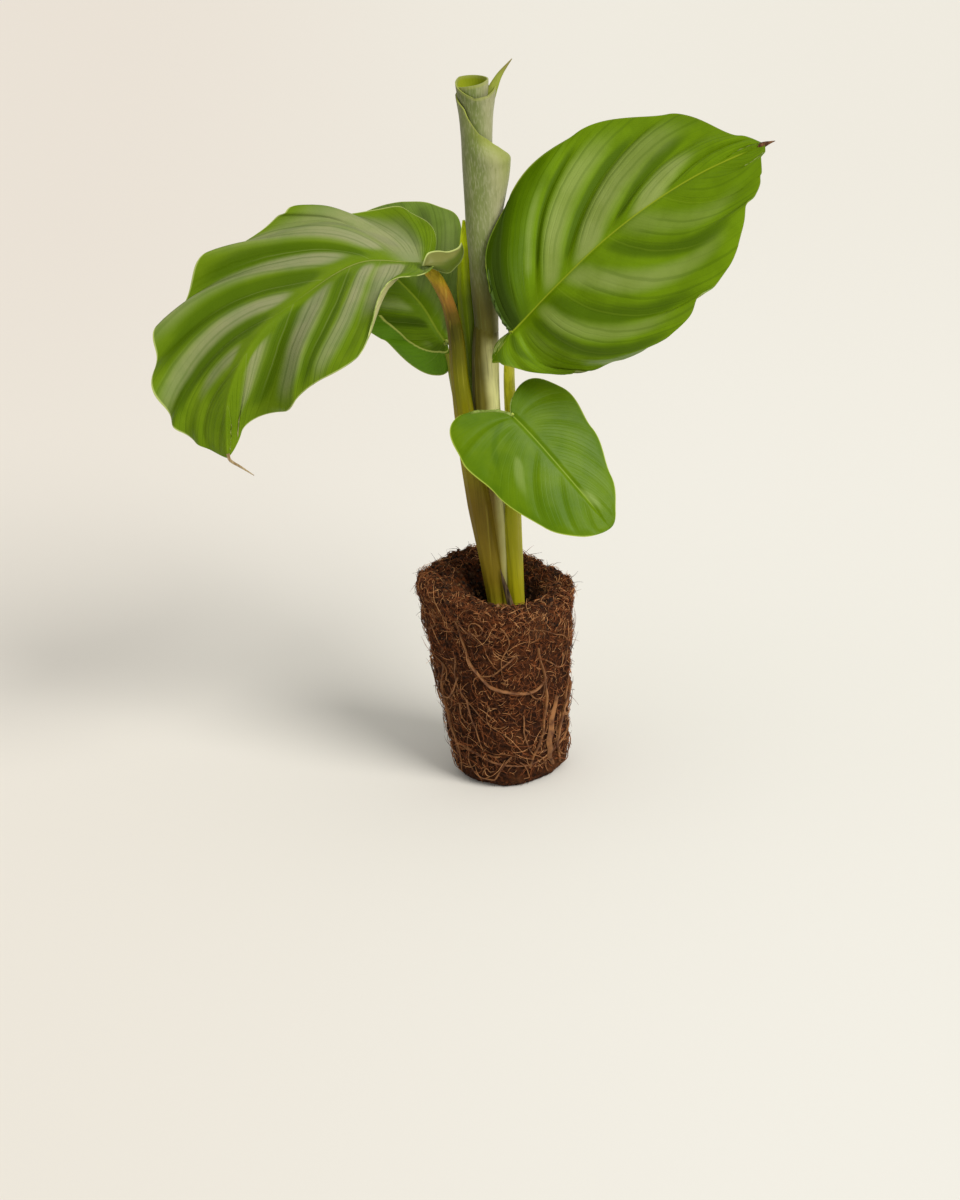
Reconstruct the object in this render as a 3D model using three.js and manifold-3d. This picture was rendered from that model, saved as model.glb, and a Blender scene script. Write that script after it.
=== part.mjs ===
// A young prayer plant in a tapered plug of coir: four leaves on petioles, one leaf that is still
// rolled up, a young shoot beside it, and the rooted plug that they all stand in.
// Millimetres, +Z up. The origin is the centre of the plug's foot, and -Y is the front.
import * as THREE from "three";
import { mergeVertices } from "three/addons/utils/BufferGeometryUtils.js";
import Module from "manifold-3d";

const wasm = await Module();
wasm.setup();

// Driving dimensions
const clearance = 0.3; // between neighbours that touch on the real plant
const bladeThickness = 0.7;

const plug = {
  height: 46.3, // at the middle of the rim
  footRadius: 12.8,
  rimRadius: 17,
  footRounding: 1,
  squareness: 0.045, // how far the round wall leans towards a rounded square
  roughness: 0.3,
  rimTilt: [-0.15, 0.11], // slope of the top along X and Y
  hollowRadius: 10,
  hollowDepth: 5.5,
  hollowCentre: [1.6, -0.8],
  columns: 36,
  wallRows: 10, // down the wall
  topRows: 6,
};

// The stems. A path runs from the soil upwards, and each point has its own radius.
const stems = {
  petiole_left: {
    path: [
      [0.3, -1.9, 36], [-0.3, -2, 50], [-1.9, -2.1, 66], [-3.3, -2.2, 82],
      [-4, -2.4, 96], [-4, -3, 107], [-5.1, -3.8, 115], [-6.9, -4.6, 120.4], [-8.6, -5, 123.7],
    ],
    radii: [1.9, 2.4, 2.7, 2.4, 1.95, 1.75, 1.45, 1.45, 1.4],
  },
  petiole_small: {
    path: [
      [4, -2.4, 36], [4.5, -3, 50], [5.2, -3.8, 64], [6.2, -5.2, 76], [7, -7.2, 84.5], [7.2, -8.4, 87.4],
    ],
    radii: [1.9, 1.9, 1.7, 1.4, 1.1, 0.9],
  },
  stalk: {
    path: [[1.2, 0.4, 36], [1.4, 0.4, 56], [1.3, 0.4, 74], [1.4, 0.2, 88], [2.4, 0, 99], [3.1, 0, 106]],
    radii: [2.2, 2.8, 3, 2.9, 2.85, 2.7],
  },
  petiole_right: {
    path: [
      [4.3, 0.8, 36], [5, 1.2, 52], [6, 1.5, 68], [6.7, 1.1, 84], [7.1, 0, 94.5], [7.8, -2.8, 102.6],
      [8.5, -5.2, 106.2],
    ],
    radii: [1.8, 1.8, 1.5, 1.35, 1.25, 1.1, 1],
  },
  petiole_back: {
    path: [
      [-0.6, 2.4, 36], [-1.6, 2.8, 58], [-3.4, 3, 78], [-4.8, 3, 92], [-5.3, 3, 97.6], [-5.8, 3.2, 101],
    ],
    radii: [1.5, 1.5, 1.4, 1.25, 1.2, 1],
  },
  shoot: {
    path: [
      [1.4, 3.6, 36], [0.6, 3.8, 60], [-0.6, 3.5, 84], [-1.3, 2.8, 102], [-1.6, 2.7, 116], [-0.7, 2.8, 126],
      [0.1, 2.8, 131.4],
    ],
    radii: [1.3, 1.5, 1.6, 1.9, 1.9, 1.1, 0.3],
  },
};
const dryBract = {
  path: [[3.2, -4.9, 36.5], [2.9, -5.2, 42], [1.9, -5, 47], [1.2, -4.7, 51]],
  radii: [1.5, 1.2, 0.8, 0.35],
  flatness: 0.4,
};

// The leaves. The guide runs along the midrib in six equal steps: its first point leads the basal
// lobes, its second is where the petiole joins and its last is the tip. Pairs are for the left and
// right halves, seen from above with the tip ahead. Widths, folds and curls are given at seven equal
// steps from the base to the tip: how wide the half is, and the angles in degrees at which its veins
// leave the midrib and bend on the way out. Each wave lifts the margin at one place: how far along it,
// how high in millimetres, and how long it is.
const leaves = {
  leaf_left: {
    guide: [
      [3.5, -5, 126.5], [-9.5, -5, 125.2], [-23.2, -10, 128.1], [-35.8, -15, 123.6],
      [-47.1, -20, 116.6], [-54.4, -24, 105.3], [-56.3, -26, 91.3],
    ],
    facing: [-0.15, -0.3, 0.94],
    lobes: [0.66, 0.35],
    widths: [[24, 19, 23, 26, 20.5, 7.5, 5], [21, 24, 25.5, 27, 29, 27, 25]],
    fold: [[85, 42, 22, 8, 4, -70, -90], [0, 4, 4, 2, -2, -8, -20]],
    curl: [[10, 20, 0, -25, -30, -30, 0], [20, 0, 0, 0, -10, -20, -30]],
    waves: [
      [],
      [
        [0.24, 1.5, 0.03], [0.385, 3.2, 0.035], [0.54, 5, 0.03], [0.66, 5.5, 0.028],
        [0.745, 5, 0.025], [0.825, 3.5, 0.02], [0.9, 1.5, 0.02],
      ],
    ],
    pleats: { count: 7, height: 0.4 },
    rows: 34,
    dryTip: {
      path: [[-55.9, -25.8, 93.4], [-56, -26, 90.8], [-53.6, -26.2, 88.9], [-50.8, -26.4, 86.8]],
      radii: [0.4, 0.4, 0.3, 0.3],
    },
  },
  leaf_right: {
    guide: [
      [-1.5, -5.9, 99.8], [8.5, -5.9, 107.5], [19, -7.5, 117.7], [29.8, -8.5, 127.2],
      [41.4, -9.5, 135.4], [53.6, -10.5, 142], [66.6, -11.9, 147.1],
    ],
    facing: [-0.2, -0.6, 0.75],
    lobes: [-0.12, 0.52],
    widths: [[30, 28.3, 23.4, 25, 23.5, 10, 1.5], [13.4, 10.6, 22.9, 28, 27, 21, 12]],
    fold: [[90, 49, 44, 15, 0, 0, 0], [3, -3, -25, 0, 0, 0, 0]],
    curl: [[-24, 0, -34, -20, -20, -20, 0], [3, -77, -32, -20, -20, -20, -20]],
    waves: [
      [[0.62, 0.8, 0.06]],
      [[0.21, -1.5, 0.03], [0.44, 1.5, 0.03], [0.58, 2.5, 0.025], [0.79, 2, 0.02]],
    ],
    pleats: { count: 7, height: 0.35 },
    rows: 28,
    dryTip: {
      path: [[64.6, -11.7, 146.4], [66.6, -11.9, 147.2], [68.4, -12, 147.5], [70.2, -12.1, 148.1]],
      radii: [0.4, 0.55, 0.5, 0.3],
    },
  },
  leaf_small: {
    guide: [
      [3.2, -6, 92], [7.1, -8, 88.6], [11.1, -10, 84.1], [15, -12, 79.2],
      [19, -14, 74], [23, -16, 68.6], [26.4, -17.8, 63.4],
    ],
    facing: [0.1, -0.72, 0.66],
    lobes: [0.3, 1.15],
    widths: [[10, 14.5, 15.5, 12.5, 9.2, 6.5, 6], [20, 19.5, 18, 15.5, 14, 12, 9]],
    fold: [[5, 5, 5, 5, 0, 0, 0], [5, 5, 5, 0, 0, 0, 0]],
    curl: [[-20, -20, -20, -20, -10, 0, 0], [-20, -30, -30, -30, -30, -20, -20]],
    waves: [[[0.4, 0.5, 0.06]], [[0.35, 0.5, 0.05]]],
    pleats: { count: 5, height: 0.25 },
    rows: 24,
  },
  leaf_back: {
    guide: [
      [3, -6, 95], [-6.3, 3.5, 103.4], [-11, 10, 110.5], [-16.5, 17, 115.5],
      [-21.5, 24, 119], [-26.5, 31, 121], [-31, 38, 121],
    ],
    facing: [-0.1, -0.5, 0.85],
    lobes: [0.35, 0],
    widths: [[20, 15, 13, 14, 15, 14, 12], [14, 14, 17, 20, 20.5, 19, 14]],
    fold: [[-70, -40, -10, 0, 0, 0, 0], [5, 5, 5, 5, 5, 5, 5]],
    curl: [[-30, -30, -30, -10, -10, -10, 0], [-10, -10, -10, -10, -10, -10, 0]],
    waves: [[], [[0.5, 1, 0.05]]],
    pleats: { count: 6, height: 0.3 },
    rows: 24,
  },
};
const veinSweep = 3.1; // how late the veins leave the midrib
const veinBow = 0.075;
const midribDepth = 0.6;
const leafColumns = [0, 0.06, 0.25, 0.45, 0.64, 0.82, 1];

// The rolled leaf: one sheet wound round its own axis. Its free margin climbs outside the roll, flares
// into a corner and then winds back up to the top, where a pointed tip stands beside the opening.
const roll = {
  axis: [[3.1, 0, 106.4], [3.5, 0, 120], [3.9, 0, 134], [4.4, 0, 148], [4.5, 0, 163.4]],
  radii: [2.05, 2.7, 3.15, 3.4, 4.1], // at one and a half turns, from the foot to the top
  pitch: 0.9, // from one turn to the next
  thickness: 0.6,
  startAngle: -24, // degrees
  // how many turns the sheet makes at each share of the height
  turns: [
    [0, 2.12], [0.58, 2.12], [0.69, 2.06], [0.73, 1.96], [0.85, 1.54], [0.9, 1.38], [0.94, 1.14], [1, 1.02],
  ],
  flare: 3.4,
  flareFrom: 0.33,
  flareTo: 0.69,
  flareEnd: 0.8,
  flareTurns: 0.34,
  columns: 32,
  heights: [0, 0.12, 0.24, 0.34, 0.43, 0.51, 0.58, 0.64, 0.69, 0.73, 0.77, 0.81, 0.85, 0.9, 0.94, 1],
};
const rolledTip = {
  path: [[8.1, 0.2, 153.6], [8.4, 0.2, 158.4], [9.4, 0.2, 161.8], [11.3, 0, 165], [13.9, 0, 168]],
  radii: [0.5, 1.15, 1.25, 0.8, 0.3],
  flatness: 0.4,
};

// Roots that show on the plug's wall: each path gives an angle in degrees and a height.
const rootStrands = [
  { path: [[229, 42], [238, 34], [248, 29], [262, 26], [285, 24], [300, 24], [313, 26]], radius: 0.5 },
  { path: [[303, 34], [309, 27], [311, 20], [304, 12], [287, 4.5]], radius: 0.55 },
  { path: [[325, 20], [318, 14], [312, 8], [318, 3.2]], radius: 0.85 },
  { path: [[346, 24], [338, 15], [326, 9], [330, 3]], radius: 0.6 },
  { path: [[24, 34], [12, 22], [2, 12], [350, 7]], radius: 0.5 },
  { path: [[70, 38], [84, 26], [92, 14], [100, 6]], radius: 0.5 },
  { path: [[128, 36], [140, 24], [158, 14], [166, 6]], radius: 0.5 },
  { path: [[204, 30], [196, 18], [206, 7]], radius: 0.5 },
];
// The root that circles the foot and joins the others.
const rootGirdle = { height: 7.5, sway: 2.2, radius: 0.6 };

// Solids and geometry
function toSolid(geometry) {
  const bare = geometry.clone();
  bare.deleteAttribute("normal");
  const merged = mergeVertices(bare, 1e-4);
  return new wasm.Manifold(
    new wasm.Mesh({
      numProp: 3,
      vertProperties: merged.attributes.position.array,
      triVerts: new Uint32Array(merged.index.array),
    }),
  );
}

function toGeometry(solid) {
  const mesh = solid.getMesh();
  const geometry = new THREE.BufferGeometry();
  geometry.setAttribute("position", new THREE.BufferAttribute(mesh.vertProperties, 3));
  geometry.setIndex(new THREE.BufferAttribute(mesh.triVerts, 1));
  geometry.computeVertexNormals();
  return geometry;
}

const largest = (solid) => solid.decompose().sort((a, b) => b.volume() - a.volume())[0];

function geometryOf(points, triangles) {
  const geometry = new THREE.BufferGeometry();
  const numbers = points.flatMap((p) => p.toArray());
  geometry.setAttribute("position", new THREE.Float32BufferAttribute(numbers, 3));
  geometry.setIndex(triangles);
  return geometry;
}

// A closed skin over rings of points, all with as many points, with a fan at each end.
function loft(rings) {
  const count = rings[0].length;
  const points = rings.flat();
  const triangles = [];
  for (let i = 0; i + 1 < rings.length; i++)
    for (let j = 0; j < count; j++) {
      const a = i * count + j;
      const b = i * count + ((j + 1) % count);
      triangles.push(a, b, b + count, a, b + count, a + count);
    }
  const middle = (ring) => ring.reduce((sum, p) => sum.add(p), new THREE.Vector3()).divideScalar(count);
  const top = (rings.length - 1) * count;
  points.push(middle(rings[0]), middle(rings.at(-1)));
  for (let j = 0; j < count; j++) {
    const k = (j + 1) % count;
    triangles.push(k, j, points.length - 2, top + j, top + k, points.length - 1);
  }
  return geometryOf(points, triangles);
}

const curveThrough = (points) =>
  new THREE.CatmullRomCurve3(points.map((p) => new THREE.Vector3(...p)), false, "catmullrom", 0.5);

// Stems: a tapering tube along a path. grow makes the same stem fatter, to cut clearance round it.
function stemSolid({ path, radii, flatness = 1 }, grow = 0, sides = 10) {
  const curve = curveThrough(path);
  const spans = path.length - 1;
  const steps = spans * 2;
  const rings = [];
  for (let i = 0; i <= steps; i++) {
    const t = i / steps;
    const along = curve.getTangent(t);
    const across = new THREE.Vector3(1, 0, 0).addScaledVector(along, -along.x).normalize();
    const depth = along.clone().cross(across);
    const k = Math.min(Math.floor(t * spans), spans - 1);
    const radius = THREE.MathUtils.lerp(radii[k], radii[k + 1], t * spans - k) + grow;
    const centre = curve.getPoint(t);
    if (i === 0) centre.addScaledVector(along, -grow);
    if (i === steps) centre.addScaledVector(along, grow);
    const flat = radius - grow > 0 ? ((radius - grow) * flatness + grow) / radius : 1;
    rings.push(
      Array.from({ length: sides }, (_, j) => {
        const angle = (2 * Math.PI * j) / sides;
        return centre
          .clone()
          .addScaledVector(across, radius * Math.cos(angle))
          .addScaledVector(depth, radius * flat * Math.sin(angle));
      }),
    );
  }
  return toSolid(loft(rings));
}

// Leaves
const smooth = (t) => t * t * (3 - 2 * t);
const step = (t) => smooth(THREE.MathUtils.clamp(t, 0, 1));
const radians = THREE.MathUtils.degToRad;

// A value given at equal steps from 0 to 1, read at x.
function blend(steps, x) {
  const t = THREE.MathUtils.clamp(x, 0, 1) * (steps.length - 1);
  const k = Math.min(Math.floor(t), steps.length - 2);
  return steps[k] + (steps[k + 1] - steps[k]) * smooth(t - k);
}

// A place on the flat leaf: x in leaf lengths along the midrib, y in millimetres across it.
// u runs from the base to the tip, and v from the midrib to the margin along a vein.
function flatPlace(leaf, half, u, v) {
  const arc = Math.PI * u;
  const marginX = (1 - Math.cos(arc)) / 2 - leaf.lobes[half] * Math.sin(arc) * (1 - u) ** 3;
  const marginY = blend(leaf.widths[half], u) * Math.sin(arc);
  const midribX = u ** veinSweep;
  const bow = veinBow * 4 * v * (1 - v);
  return [
    midribX + (marginX - midribX) * v - (bow * marginY) / leaf.length,
    marginY * v + bow * (marginX - midribX) * leaf.length,
  ];
}

function leafPoint(leaf, curve, half, u, v) {
  const [x, y] = flatPlace(leaf, half, u, v);
  const steps = leaf.guide.length - 1;
  const t = (x * (steps - 1) + 1) / steps;
  const onGuide = Math.max(t, 0);
  const along = curve.getTangent(onGuide);
  const up = new THREE.Vector3(...leaf.facing);
  up.addScaledVector(along, -along.dot(up)).normalize();
  const across = along.clone().cross(up).multiplyScalar(half ? 1 : -1);
  const fold = radians(blend(leaf.fold[half], u));
  const bend = radians(blend(leaf.curl[half], u)) / Math.max(...leaf.widths[half]) || 1e-6;
  const turned = fold + bend * y;
  const out = (Math.sin(turned) - Math.sin(fold)) / bend;
  let rise = (Math.cos(fold) - Math.cos(turned)) / bend;
  for (const [place, height, reach] of leaf.waves[half])
    rise += height * v ** 2.2 * Math.exp(-(((u - place) / reach) ** 2));
  const { count, height } = leaf.pleats;
  rise += height * Math.sin(2 * Math.PI * count * u) * Math.sin(Math.PI * v ** 0.7) * u ** 0.3;
  const beyond = ((t - onGuide) * leaf.length * steps) / (steps - 1); // straight on, past the guide
  const onMidrib = curve.getPoint(onGuide).addScaledVector(along, beyond);
  return onMidrib.addScaledVector(across, out).addScaledVector(up, rise);
}

// The middle surface of a leaf as points and triangles, with the margin's points in order.
function leafSheet(leaf) {
  const curve = curveThrough(leaf.guide);
  leaf.length = curve.getLength() * (1 - 1 / (leaf.guide.length - 1));
  const points = [];
  const add = (point) => points.push(point) - 1;
  const base = add(leafPoint(leaf, curve, 1, 0, 0));
  const tip = add(leafPoint(leaf, curve, 1, 1, 0));
  const midrib = [];
  for (let i = 1; i < leaf.rows; i++) midrib.push(add(leafPoint(leaf, curve, 1, i / leaf.rows, 0)));
  const triangles = [];
  const margins = [];
  for (const half of [0, 1]) {
    const rows = midrib.map((m, i) => [
      m,
      ...leafColumns.slice(1).map((v) => add(leafPoint(leaf, curve, half, (i + 1) / leaf.rows, v))),
    ]);
    const face = (a, b, c) => triangles.push(...(half ? [a, c, b] : [a, b, c]));
    for (let j = 0; j + 1 < leafColumns.length; j++) {
      face(base, rows[0][j], rows[0][j + 1]);
      face(tip, rows.at(-1)[j + 1], rows.at(-1)[j]);
      for (let i = 0; i + 1 < rows.length; i++) {
        face(rows[i][j], rows[i + 1][j], rows[i + 1][j + 1]);
        face(rows[i][j], rows[i + 1][j + 1], rows[i][j + 1]);
      }
    }
    margins.push(rows.map((row) => row.at(-1)));
  }
  const rim = [base, ...margins[1], tip, ...margins[0].reverse()];
  return { points, triangles, rim, ribs: new Set([base, ...midrib]) };
}

// The sheet given its thickness, with a rib under the midrib. Both faces are split alike.
function leafSolid(sheet, grow = 0) {
  const skin = geometryOf(sheet.points, sheet.triangles);
  skin.computeVertexNormals();
  const normals = skin.attributes.normal;
  const count = sheet.points.length;
  const half = bladeThickness / 2 + grow;
  const normal = (i) => new THREE.Vector3().fromBufferAttribute(normals, i);
  const upper = sheet.points.map((p, i) => p.clone().addScaledVector(normal(i), half));
  const depth = (i) => (sheet.ribs.has(i) ? half + midribDepth : half);
  const lower = sheet.points.map((p, i) => p.clone().addScaledVector(normal(i), -depth(i)));
  const triangles = [...sheet.triangles];
  for (let i = 0; i < sheet.triangles.length; i += 3) {
    const [a, b, c] = sheet.triangles.slice(i, i + 3);
    triangles.push(a + count, c + count, b + count);
  }
  sheet.rim.forEach((a, i) => {
    const b = sheet.rim[(i + 1) % sheet.rim.length];
    triangles.push(b, a, a + count, b, a + count, b + count);
  });
  return toSolid(geometryOf([...upper, ...lower], triangles));
}

// The rolled leaf
function turnsAt(height) {
  const next = Math.max(1, roll.turns.findIndex(([place]) => place >= height));
  const [low, from] = roll.turns[next - 1];
  const [high, to] = roll.turns[next];
  return THREE.MathUtils.lerp(from, to, (height - low) / (high - low));
}

function flareAt(height, turnsLeft) {
  const rising = step((height - roll.flareFrom) / (roll.flareTo - roll.flareFrom));
  const ending = step((roll.flareEnd - height) / (roll.flareEnd - roll.flareTo));
  return roll.flare * rising * ending * step(1 - turnsLeft / roll.flareTurns);
}

function rollPoint(curve, share, height, offset) {
  const turns = turnsAt(height);
  const turn = turns * share;
  const along = curve.getTangent(height);
  const across = new THREE.Vector3(1, 0, 0).addScaledVector(along, -along.x).normalize();
  const depth = along.clone().cross(across);
  const angle = radians(roll.startAngle) + 2 * Math.PI * turn;
  const spread = roll.pitch * (turn - 1.5) + flareAt(height, turns - turn);
  const radius = blend(roll.radii, height) + spread + offset;
  return curve
    .getPoint(height)
    .addScaledVector(across, radius * Math.cos(angle))
    .addScaledVector(depth, radius * Math.sin(angle));
}

function rollSolid() {
  const curve = curveThrough(roll.axis);
  const rings = [];
  for (let i = 0; i <= roll.columns; i++) {
    const share = i / roll.columns;
    const side = (offset) => roll.heights.map((height) => rollPoint(curve, share, height, offset));
    rings.push([...side(roll.thickness / 2), ...side(-roll.thickness / 2).reverse()]);
  }
  return toSolid(sheetLoft(rings)).add(stemSolid(rolledTip));
}

// A strip of quads round each cross section, with its ends closed edge to edge.
function sheetLoft(rings) {
  const count = rings[0].length;
  const points = rings.flat();
  const triangles = [];
  for (let i = 0; i + 1 < rings.length; i++)
    for (let j = 0; j < count; j++) {
      const a = i * count + j;
      const b = i * count + ((j + 1) % count);
      triangles.push(a, b + count, b, a, a + count, b + count);
    }
  const last = (rings.length - 1) * count;
  for (let j = 0; j + 1 < count / 2; j++) {
    const k = count - 1 - j;
    triangles.push(j, j + 1, k, j + 1, k - 1, k);
    triangles.push(last + j, last + k, last + j + 1, last + j + 1, last + k, last + k - 1);
  }
  return geometryOf(points, triangles);
}

// The plug
const lump = (a, b) =>
  Math.sin(3 * a + 1.3 * b) * 0.4 +
  Math.sin(7 * a - 2.1 * b + 1) * 0.35 +
  Math.sin(11 * a + 3.7 * b + 2) * 0.25;

function wallRadius(angle, z) {
  const taper = THREE.MathUtils.lerp(plug.footRadius, plug.rimRadius, z / plug.height);
  const square = 1 + plug.squareness * Math.cos(4 * angle);
  return taper * square + plug.roughness * lump(angle, z * 0.35);
}

function topHeight(x, y) {
  const far = Math.hypot(x - plug.hollowCentre[0], y - plug.hollowCentre[1]) / plug.hollowRadius;
  const hollow = plug.hollowDepth * (1 - step((far - 0.45) / 0.75));
  return plug.height + plug.rimTilt[0] * x + plug.rimTilt[1] * y - hollow + 0.3 * lump(x * 0.25, y * 0.6);
}

function plugSolid(grow = 0) {
  const ring = (radius, z) =>
    Array.from({ length: plug.columns }, (_, j) => {
      const angle = (2 * Math.PI * j) / plug.columns;
      const r = radius(angle);
      const x = r * Math.cos(angle);
      const y = r * Math.sin(angle);
      return new THREE.Vector3(x, y, z(x, y));
    });
  const rings = [ring((a) => wallRadius(a, 0) - plug.footRounding + grow, () => -grow)];
  for (let i = 0; i < plug.wallRows; i++) {
    const share = i / plug.wallRows;
    const floor = plug.footRounding;
    rings.push(
      ring(
        (a) => wallRadius(a, share * plug.height) + grow,
        (x, y) => {
          const reach = Math.hypot(x, y);
          const lip = topHeight((x / reach) * plug.rimRadius, (y / reach) * plug.rimRadius);
          return floor + (lip - floor - 0.7) * share;
        },
      ),
    );
  }
  for (let i = 0; i < plug.topRows; i++) {
    const share = 1 - i / plug.topRows - (i ? 0 : 0.03);
    rings.push(ring((a) => (wallRadius(a, plug.height) + grow) * share, (x, y) => topHeight(x, y) + grow));
  }
  return toSolid(loft(rings));
}

// Roots on the wall. A strand is given by the angle and height that it passes through.
function strandSolid(place, radius, steps) {
  const onWall = (t) => {
    const [angle, z] = place(t);
    const reach = wallRadius(angle, z) + clearance + 0.15 * rootGirdle.radius;
    return new THREE.Vector3(reach * Math.cos(angle), reach * Math.sin(angle), z);
  };
  const rings = [];
  for (let i = 0; i <= steps; i++) {
    const t = i / steps;
    const centre = onWall(t);
    const along = onWall(Math.min(t + 0.01, 1)).sub(onWall(Math.max(t - 0.01, 0))).normalize();
    const outward = new THREE.Vector3(centre.x, centre.y, 0).normalize();
    outward.addScaledVector(along, -along.dot(outward)).normalize();
    const beside = along.clone().cross(outward);
    const taper = 0.65 + 0.35 * Math.sin(Math.PI * THREE.MathUtils.clamp(t, 0.15, 0.85));
    rings.push(
      Array.from({ length: 5 }, (_, j) => {
        const turn = (2 * Math.PI * j) / 5;
        return centre
          .clone()
          .addScaledVector(outward, radius * taper * Math.cos(turn))
          .addScaledVector(beside, radius * taper * Math.sin(turn));
      }),
    );
  }
  return toSolid(loft(rings));
}

function rootsSolid() {
  const strands = rootStrands.map(({ path, radius }) => {
    const curve = curveThrough(path.map(([angle, z]) => [radians(angle), z, 0]));
    return strandSolid((t) => curve.getPoint(t).toArray(), radius, (path.length - 1) * 2);
  });
  const sway = (t) => rootGirdle.sway * Math.sin(4 * Math.PI * t + 1);
  const girdle = (t) => [2 * Math.PI * t, rootGirdle.height + sway(t)];
  for (const [from, to] of [[0, 0.52], [0.5, 1.02]])
    strands.push(strandSolid((t) => girdle(from + (to - from) * t), rootGirdle.radius, 16));
  const joined = strands.reduce((sum, strand) => sum.add(strand));
  return largest(joined.subtract(plugSolid(clearance)));
}

// The whole plant
const materials = {
  coir: new THREE.MeshStandardMaterial({ color: 0x3b2416, roughness: 0.95, metalness: 0 }),
  root: new THREE.MeshStandardMaterial({ color: 0x8a6238, roughness: 0.8, metalness: 0 }),
  blade: new THREE.MeshStandardMaterial({ color: 0x4f7d1e, roughness: 0.45, metalness: 0 }),
  petiole: new THREE.MeshStandardMaterial({ color: 0x7f7f1c, roughness: 0.5, metalness: 0 }),
  stalk: new THREE.MeshStandardMaterial({ color: 0x7a7440, roughness: 0.55, metalness: 0 }),
  rolled: new THREE.MeshStandardMaterial({ color: 0x8a9468, roughness: 0.55, metalness: 0 }),
  dry: new THREE.MeshStandardMaterial({ color: 0x4a3826, roughness: 0.85, metalness: 0 }),
};

const plant = new THREE.Group();
function place(name, solid, material) {
  const mesh = new THREE.Mesh(toGeometry(solid), material);
  mesh.name = name;
  plant.add(mesh);
}

const sheets = Object.fromEntries(Object.entries(leaves).map(([name, leaf]) => [name, leafSheet(leaf)]));
for (const [name, { dryTip }] of Object.entries(leaves)) {
  const blade = leafSolid(sheets[name]);
  place(name, dryTip ? blade.add(stemSolid(dryTip, 0, 6)) : blade, materials.blade);
}
const carries = {
  petiole_left: "leaf_left",
  petiole_right: "leaf_right",
  petiole_small: "leaf_small",
  petiole_back: "leaf_back",
};

// Each stem gives way to the ones before it, so that they nest together as sheaths do.
const before = [];
let holes = null;
for (const [name, stem] of Object.entries({ ...stems, dry_bract: dryBract })) {
  let solid = stemSolid(stem);
  for (const other of before) solid = solid.subtract(other);
  if (carries[name]) solid = solid.subtract(leafSolid(sheets[carries[name]], clearance));
  solid = largest(solid);
  const grown = stemSolid(stem, clearance);
  before.push(grown);
  holes = holes ? holes.add(grown) : grown;
  place(name, solid, { stalk: materials.stalk, dry_bract: materials.dry }[name] ?? materials.petiole);
}

place("rolled_leaf", rollSolid(), materials.rolled);
place("root_plug", largest(plugSolid().subtract(holes)), materials.coir);
place("surface_roots", rootsSolid(), materials.root);

export default plant;
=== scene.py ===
import math

import bpy
import numpy as np
from mathutils import Matrix, Vector


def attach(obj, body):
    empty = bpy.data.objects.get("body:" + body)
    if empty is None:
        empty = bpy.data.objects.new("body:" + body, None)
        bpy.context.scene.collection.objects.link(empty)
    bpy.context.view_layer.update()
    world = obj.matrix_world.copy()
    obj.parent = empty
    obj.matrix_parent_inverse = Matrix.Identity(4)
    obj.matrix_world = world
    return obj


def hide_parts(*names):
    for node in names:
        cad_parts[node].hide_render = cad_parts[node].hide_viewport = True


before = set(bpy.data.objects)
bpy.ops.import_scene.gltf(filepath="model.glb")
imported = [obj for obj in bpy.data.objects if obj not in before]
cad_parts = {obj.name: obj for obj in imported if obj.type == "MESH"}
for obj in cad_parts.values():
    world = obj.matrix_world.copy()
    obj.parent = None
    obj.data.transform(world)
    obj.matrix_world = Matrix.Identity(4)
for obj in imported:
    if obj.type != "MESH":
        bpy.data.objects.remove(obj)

# The looks of a young prayer plant in its coir plug. Lengths are millimetres here and metres in Blender.
mm = 0.001
perSquareMetre = 1e6  # for a number on each square millimetre
sharpAngle = math.radians(50)
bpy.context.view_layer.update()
print("frame loaded:", len(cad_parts), "nodes")


# Node helpers. They build in the tree that newMaterial or newTree opened last.

opened = []


def addNode(kind, inputs=None, **settings):
    made = opened[-1].nodes.new(kind)
    for setting, value in settings.items():
        setattr(made, setting, value)
    for key, value in (inputs or {}).items():
        plug(made.inputs[key], value)
    return made


def plug(socket, value):
    if isinstance(value, bpy.types.NodeSocket):
        opened[-1].links.new(value, socket)
    else:
        socket.default_value = value


def built(kind, inputs=None, **settings):
    # the first output of a new node
    return addNode(kind, inputs, **settings).outputs[0]


def calc(operation, *values):
    return built("ShaderNodeMath", dict(enumerate(values)), operation=operation)


def times(first, second):
    return calc("MULTIPLY", first, second)


def plus(first, second):
    return calc("ADD", first, second)


def ramp(value, low, high, start=0.0, end=1.0):
    # eases from start to end while value runs from low to high
    inputs = dict(enumerate((value, low, high, start, end)))
    return built("ShaderNodeMapRange", inputs, interpolation_type="SMOOTHSTEP")


def mixColour(share, *colours):
    # from the first colour to the second as share runs from 0 to 1
    made = addNode("ShaderNodeMix", {0: share}, data_type="RGBA")
    for key, colour in zip((6, 7), colours):
        plug(made.inputs[key], tint(colour) if isinstance(colour, tuple) else colour)
    return made.outputs[2]


def paint(colour, *layers):
    # lays each colour over those before it, where its share says
    for share, over in layers:
        colour = mixColour(share, colour, over)
    return colour


def noise(place, scale, detail=3, roughness=0.55):
    # a scale of three numbers stretches the grain
    if isinstance(scale, tuple):
        place = built("ShaderNodeMapping", {"Vector": place, "Scale": scale})
        scale = 1.0
    settings = {"Vector": place, "Scale": scale, "Detail": detail, "Roughness": roughness}
    return addNode("ShaderNodeTexNoise", settings).outputs["Fac"]


def attribute(name):
    return addNode("ShaderNodeAttribute", attribute_name=name).outputs["Fac"]


def tint(colour):
    # red, green and blue as a picture editor gives them, made linear
    shares = (c / 255 for c in colour)
    return tuple(s / 12.92 if s <= 0.04045 else ((s + 0.055) / 1.055) ** 2.4 for s in shares) + (1.0,)


def shaderInputs(material):
    return material.node_tree.nodes["Principled BSDF"].inputs


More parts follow.
